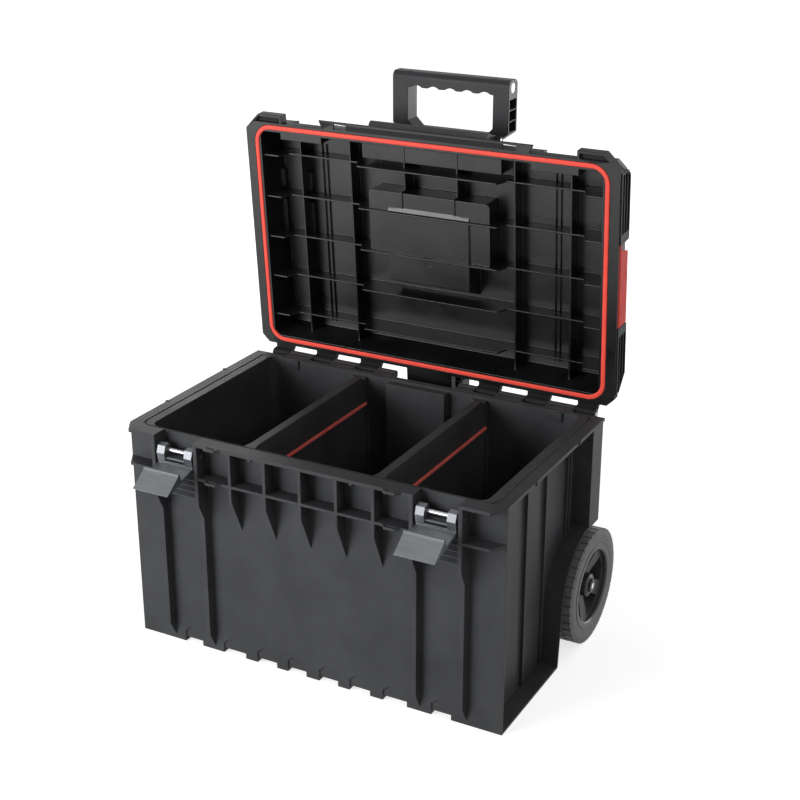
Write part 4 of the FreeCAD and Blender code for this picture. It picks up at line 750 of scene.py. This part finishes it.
# %% Tyres
TREAD = 0.002
RIM_OVERLAP = 0.0028
SIDE_ROOM = 0.0008
CORNER_ROOM = 0.0003
SHOULDER_IN = 0.0083
BLOCK_BREADTH = 0.0132
MIDDLE_LENGTH = 0.0108
MIDDLE_DEPTH = 0.005
SHOULDER_LENGTH = 0.015
SHOULDER_DEPTH = 0.0052
HALF_STEP = math.pi / TREAD_BLOCKS
HALF = (tyre_high.x - tyre_low.x) / 2
GROUND = (tyre_high.z - tyre_low.z) / 2
rim_low, rim_high = (Vector(corner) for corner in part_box("wheel_rim_right"))
SEAT = (rim_high.z - rim_low.z) / 2 - RIM_OVERLAP
tyre_sizes = {"Middle": (GROUND - TREAD + SEAT) / 2, "Section": GROUND - TREAD - SEAT,
              "Width": 2 * HALF - SIDE_ROOM, "Shoulder": 0.0055, "Blocks": TREAD_BLOCKS,
              "Ground": GROUND - CORNER_ROOM, "Row": HALF - SHOULDER_IN,
              "Turn": (0.0, math.pi / 2, 0.0), "Place": tuple(AXLE)}
tree, sizes = grower("tyre_growth", tyre_sizes)
path = put(tree, "GeometryNodeCurvePrimitiveCircle", {"Resolution": 120, "Radius": sizes["Middle"]})
path = put(tree, "GeometryNodeSetCurveNormal", {"Curve": path.outputs[0]}, mode="Z_UP")
section = put(tree, "GeometryNodeCurvePrimitiveQuadrilateral", {"Width": sizes["Section"],
                                                                "Height": sizes["Width"]})
section = put(tree, "GeometryNodeFilletCurve", {"Curve": section.outputs[0], "Count": 6,
                                                "Radius": sizes["Shoulder"]}, mode="POLY")
wall = put(tree, "GeometryNodeCurveToMesh", {"Curve": path.outputs[0], "Profile Curve": section.outputs[0]})
both = put(tree, "GeometryNodeJoinGeometry", {0: wall.outputs[0]})
other = put(tree, "ShaderNodeMath", {0: sizes["Row"], 1: -1.0}, operation="MULTIPLY").outputs[0]
for along, length, depth, step in ((0.0, MIDDLE_LENGTH, MIDDLE_DEPTH, 0.0),
                                   (sizes["Row"], SHOULDER_LENGTH, SHOULDER_DEPTH, HALF_STEP),
                                   (other, SHOULDER_LENGTH, SHOULDER_DEPTH, HALF_STEP)):
    row = put(tree, "GeometryNodeGroup", {"Count": sizes["Blocks"], "Reach": sizes["Ground"], "Depth": depth,
                                          "Breadth": BLOCK_BREADTH, "Length": length, "Along": along,
                                          "Step": step}, node_tree=ring)
    tree.links.new(row.outputs[0], both.inputs[0])
end_tree(tree, both.outputs[0], sizes)
for side, name in ((1, "right"), (-1, "left")):
    tyre_sizes["Place"] = (side * AXLE.x, AXLE.y, AXLE.z)
    tyre = grown("tyre_tread_" + name, tree, tyre_sizes, rubber, "wheel_%s_body" % name)
    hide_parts("tyre_" + name)
    print(tyre.name, len(tyre.data.polygons), "faces, off by", round(misfit(tyre, "tyre_" + name), 2), "mm")

# %% [markdown]
# The hub of each rim has fine teeth round it. They are the same block as the tread's, only smaller, so
# one ring of them in the rim's own nylon is enough.

# %% Teeth round the hubs
TEETH_IN = 0.0105
TEETH = {"Count": 22, "Reach": 0.0176, "Depth": 0.0026, "Breadth": 0.0022, "Length": 0.009, "Along": 0.0,
         "Turn": (0.0, math.pi / 2, 0.0), "Place": (0.0, 0.0, 0.0)}
tree, sizes = grower("hub_teeth", TEETH)
tooth_sizes = {label: sizes[label] for label in BLOCKS if label in TEETH}
row = put(tree, "GeometryNodeGroup", tooth_sizes, node_tree=ring)
end_tree(tree, row.outputs[0], sizes)
for side, name in ((1, "right"), (-1, "left")):
    TEETH["Place"] = (side * (rim_high.x - TEETH_IN), AXLE.y, AXLE.z)
    teeth = grown("hub_teeth_" + name, tree, TEETH, nylon_black, "wheel_%s_body" % name)
print("hub teeth", len(teeth.data.polygons), "faces on each wheel")

# %% [markdown]
# Tubes, rods, pins and screws are drawn or turned, and the solids already show that shape. They keep
# their mesh and get a metal for their slot, or their own one where it differs.

# %% Tubes and turned metal
FINISHES = {"mast_aluminium": mast_metal, "steel": zinc_steel}
OWN_FINISH = {"clasp_bar_left": bar_steel, "clasp_bar_right": bar_steel, "axle_rings": dark_steel,
              "axle_left": axle_steel, "axle_right": axle_steel}
dressed = 0
for part in frame["record"]["subparts"]:
    if part["material_slot"] in FINISHES:
        slots = cad[part["node"]].data.materials
        slots.clear()
        slots.append(OWN_FINISH.get(part["node"], FINISHES[part["material_slot"]]))
        dressed += 1
print(dressed, "metal nodes dressed")

# %% [markdown]
# The studio is a pale floor that runs out of the picture and one large soft lamp low at the front left,
# so that upright faces are light and level ones dark. Weaker lamps stand above, at the right and behind.
# The floor takes the shadow and is lifted to white for the camera and for reflections, more so further
# away, so that metal shows the same pale surroundings.

# %% Floor
FLOOR_DROP = 0.0004
FIBRE_MM = 400
NEAR = 0.6
FAR = 2.6
NEAR_LIFT = 0.74
FAR_LIFT = 0.98
WHITE = (1.0, 1.0, 1.0, 1.0)


def seen_directly(tree):
    """1 for rays from the camera, a reflection or glass, and 0 for those that light the object."""
    ray = put(tree, "ShaderNodeLightPath")
    seen = ray.outputs["Is Camera Ray"]
    for kind in ("Is Glossy Ray", "Is Transmission Ray"):
        seen = put(tree, "ShaderNodeMath", {0: seen, 1: ray.outputs[kind]}, operation="MAXIMUM").outputs[0]
    return seen


bpy.ops.mesh.primitive_grid_add(x_subdivisions=4, y_subdivisions=4, size=30.0,
                                location=(0.0, 0.0, -FLOOR_DROP))
floor = bpy.context.object
floor.name = "studio_floor"
paper, tree, place, out = blank("white studio paper")
fibre = put(tree, "ShaderNodeTexNoise", {"Vector": place, "Scale": per(FIBRE_MM), "Detail": 2.0})
tint = put(tree, "ShaderNodeValToRGB", {"Fac": fibre.outputs["Fac"]})
tint.color_ramp.elements[0].color = linear("#cacaca")
tint.color_ramp.elements[1].color = linear("#d0d0d0")
matt = put(tree, "ShaderNodeBsdfDiffuse", {"Color": tint.outputs["Color"]})
away = put(tree, "ShaderNodeVectorMath", {0: place}, operation="LENGTH")
white = put(tree, "ShaderNodeMapRange", {"Value": away.outputs["Value"], "From Min": NEAR, "From Max": FAR,
                                         "To Min": NEAR_LIFT, "To Max": FAR_LIFT})
lift = put(tree, "ShaderNodeMath", {0: seen_directly(tree), 1: white.outputs["Result"]}, operation="MULTIPLY")
glow = put(tree, "ShaderNodeEmission", {"Color": WHITE, "Strength": lift.outputs[0]})
both = put(tree, "ShaderNodeAddShader", {0: matt.outputs[0], 1: glow.outputs[0]})
tree.links.new(both.outputs[0], out.inputs["Surface"])
floor.data.materials.append(paper)
print("floor", round(floor.dimensions.x), "m wide")

# %% [markdown]
# The world is white where it is seen, but gives only a weak light, so that the inside of the box stays
# dark. The lamps are soft boxes, as in a studio: the larger the lamp, the softer its shadow.

# %% World and lamps
DIM = 0.12
world = bpy.data.worlds.new("studio_surround")
scene.world = world
world.use_nodes = True
tree = world.node_tree
tree.nodes.clear()
level = put(tree, "ShaderNodeMapRange", {"Value": seen_directly(tree), "To Min": DIM, "To Max": 1.0})
sky = put(tree, "ShaderNodeBackground", {"Color": WHITE, "Strength": level.outputs["Result"]})
put(tree, "ShaderNodeOutputWorld", {"Surface": sky.outputs[0]})


def lamp(name, spot, target, size, power):
    light = bpy.data.lights.new(name, "AREA")
    light.shape = "RECTANGLE"
    light.size, light.size_y = size
    light.energy = power
    made = bpy.data.objects.new(name, light)
    made.location = spot
    made.rotation_euler = (Vector(target) - Vector(spot)).to_track_quat("-Z", "Y").to_euler()
    scene.collection.objects.link(made)
    print(name, power, "W")


lamp("key_softbox", spot=(-1.9, -2.7, 0.95), target=(0.0, 0.0, 0.3), size=(2.2, 1.7), power=126.0)
lamp("top_softbox", spot=(0.0, 0.2, 3.2), target=(0.0, 0.1, 0.3), size=(2.6, 1.8), power=9.0)
lamp("right_fill", spot=(2.2, -0.9, 2.0), target=(0.0, 0.0, 0.3), size=(1.0, 1.0), power=11.0)
lamp("left_rim_light", spot=(-1.9, 2.2, 1.4), target=(0.0, 0.1, 0.4), size=(0.8, 0.8), power=9.0)
lamp("back_fill", spot=(0.9, 2.8, 0.7), target=(0.0, 0.1, 0.35), size=(1.6, 1.0), power=42.0)
scene.view_settings.view_transform = "Standard"
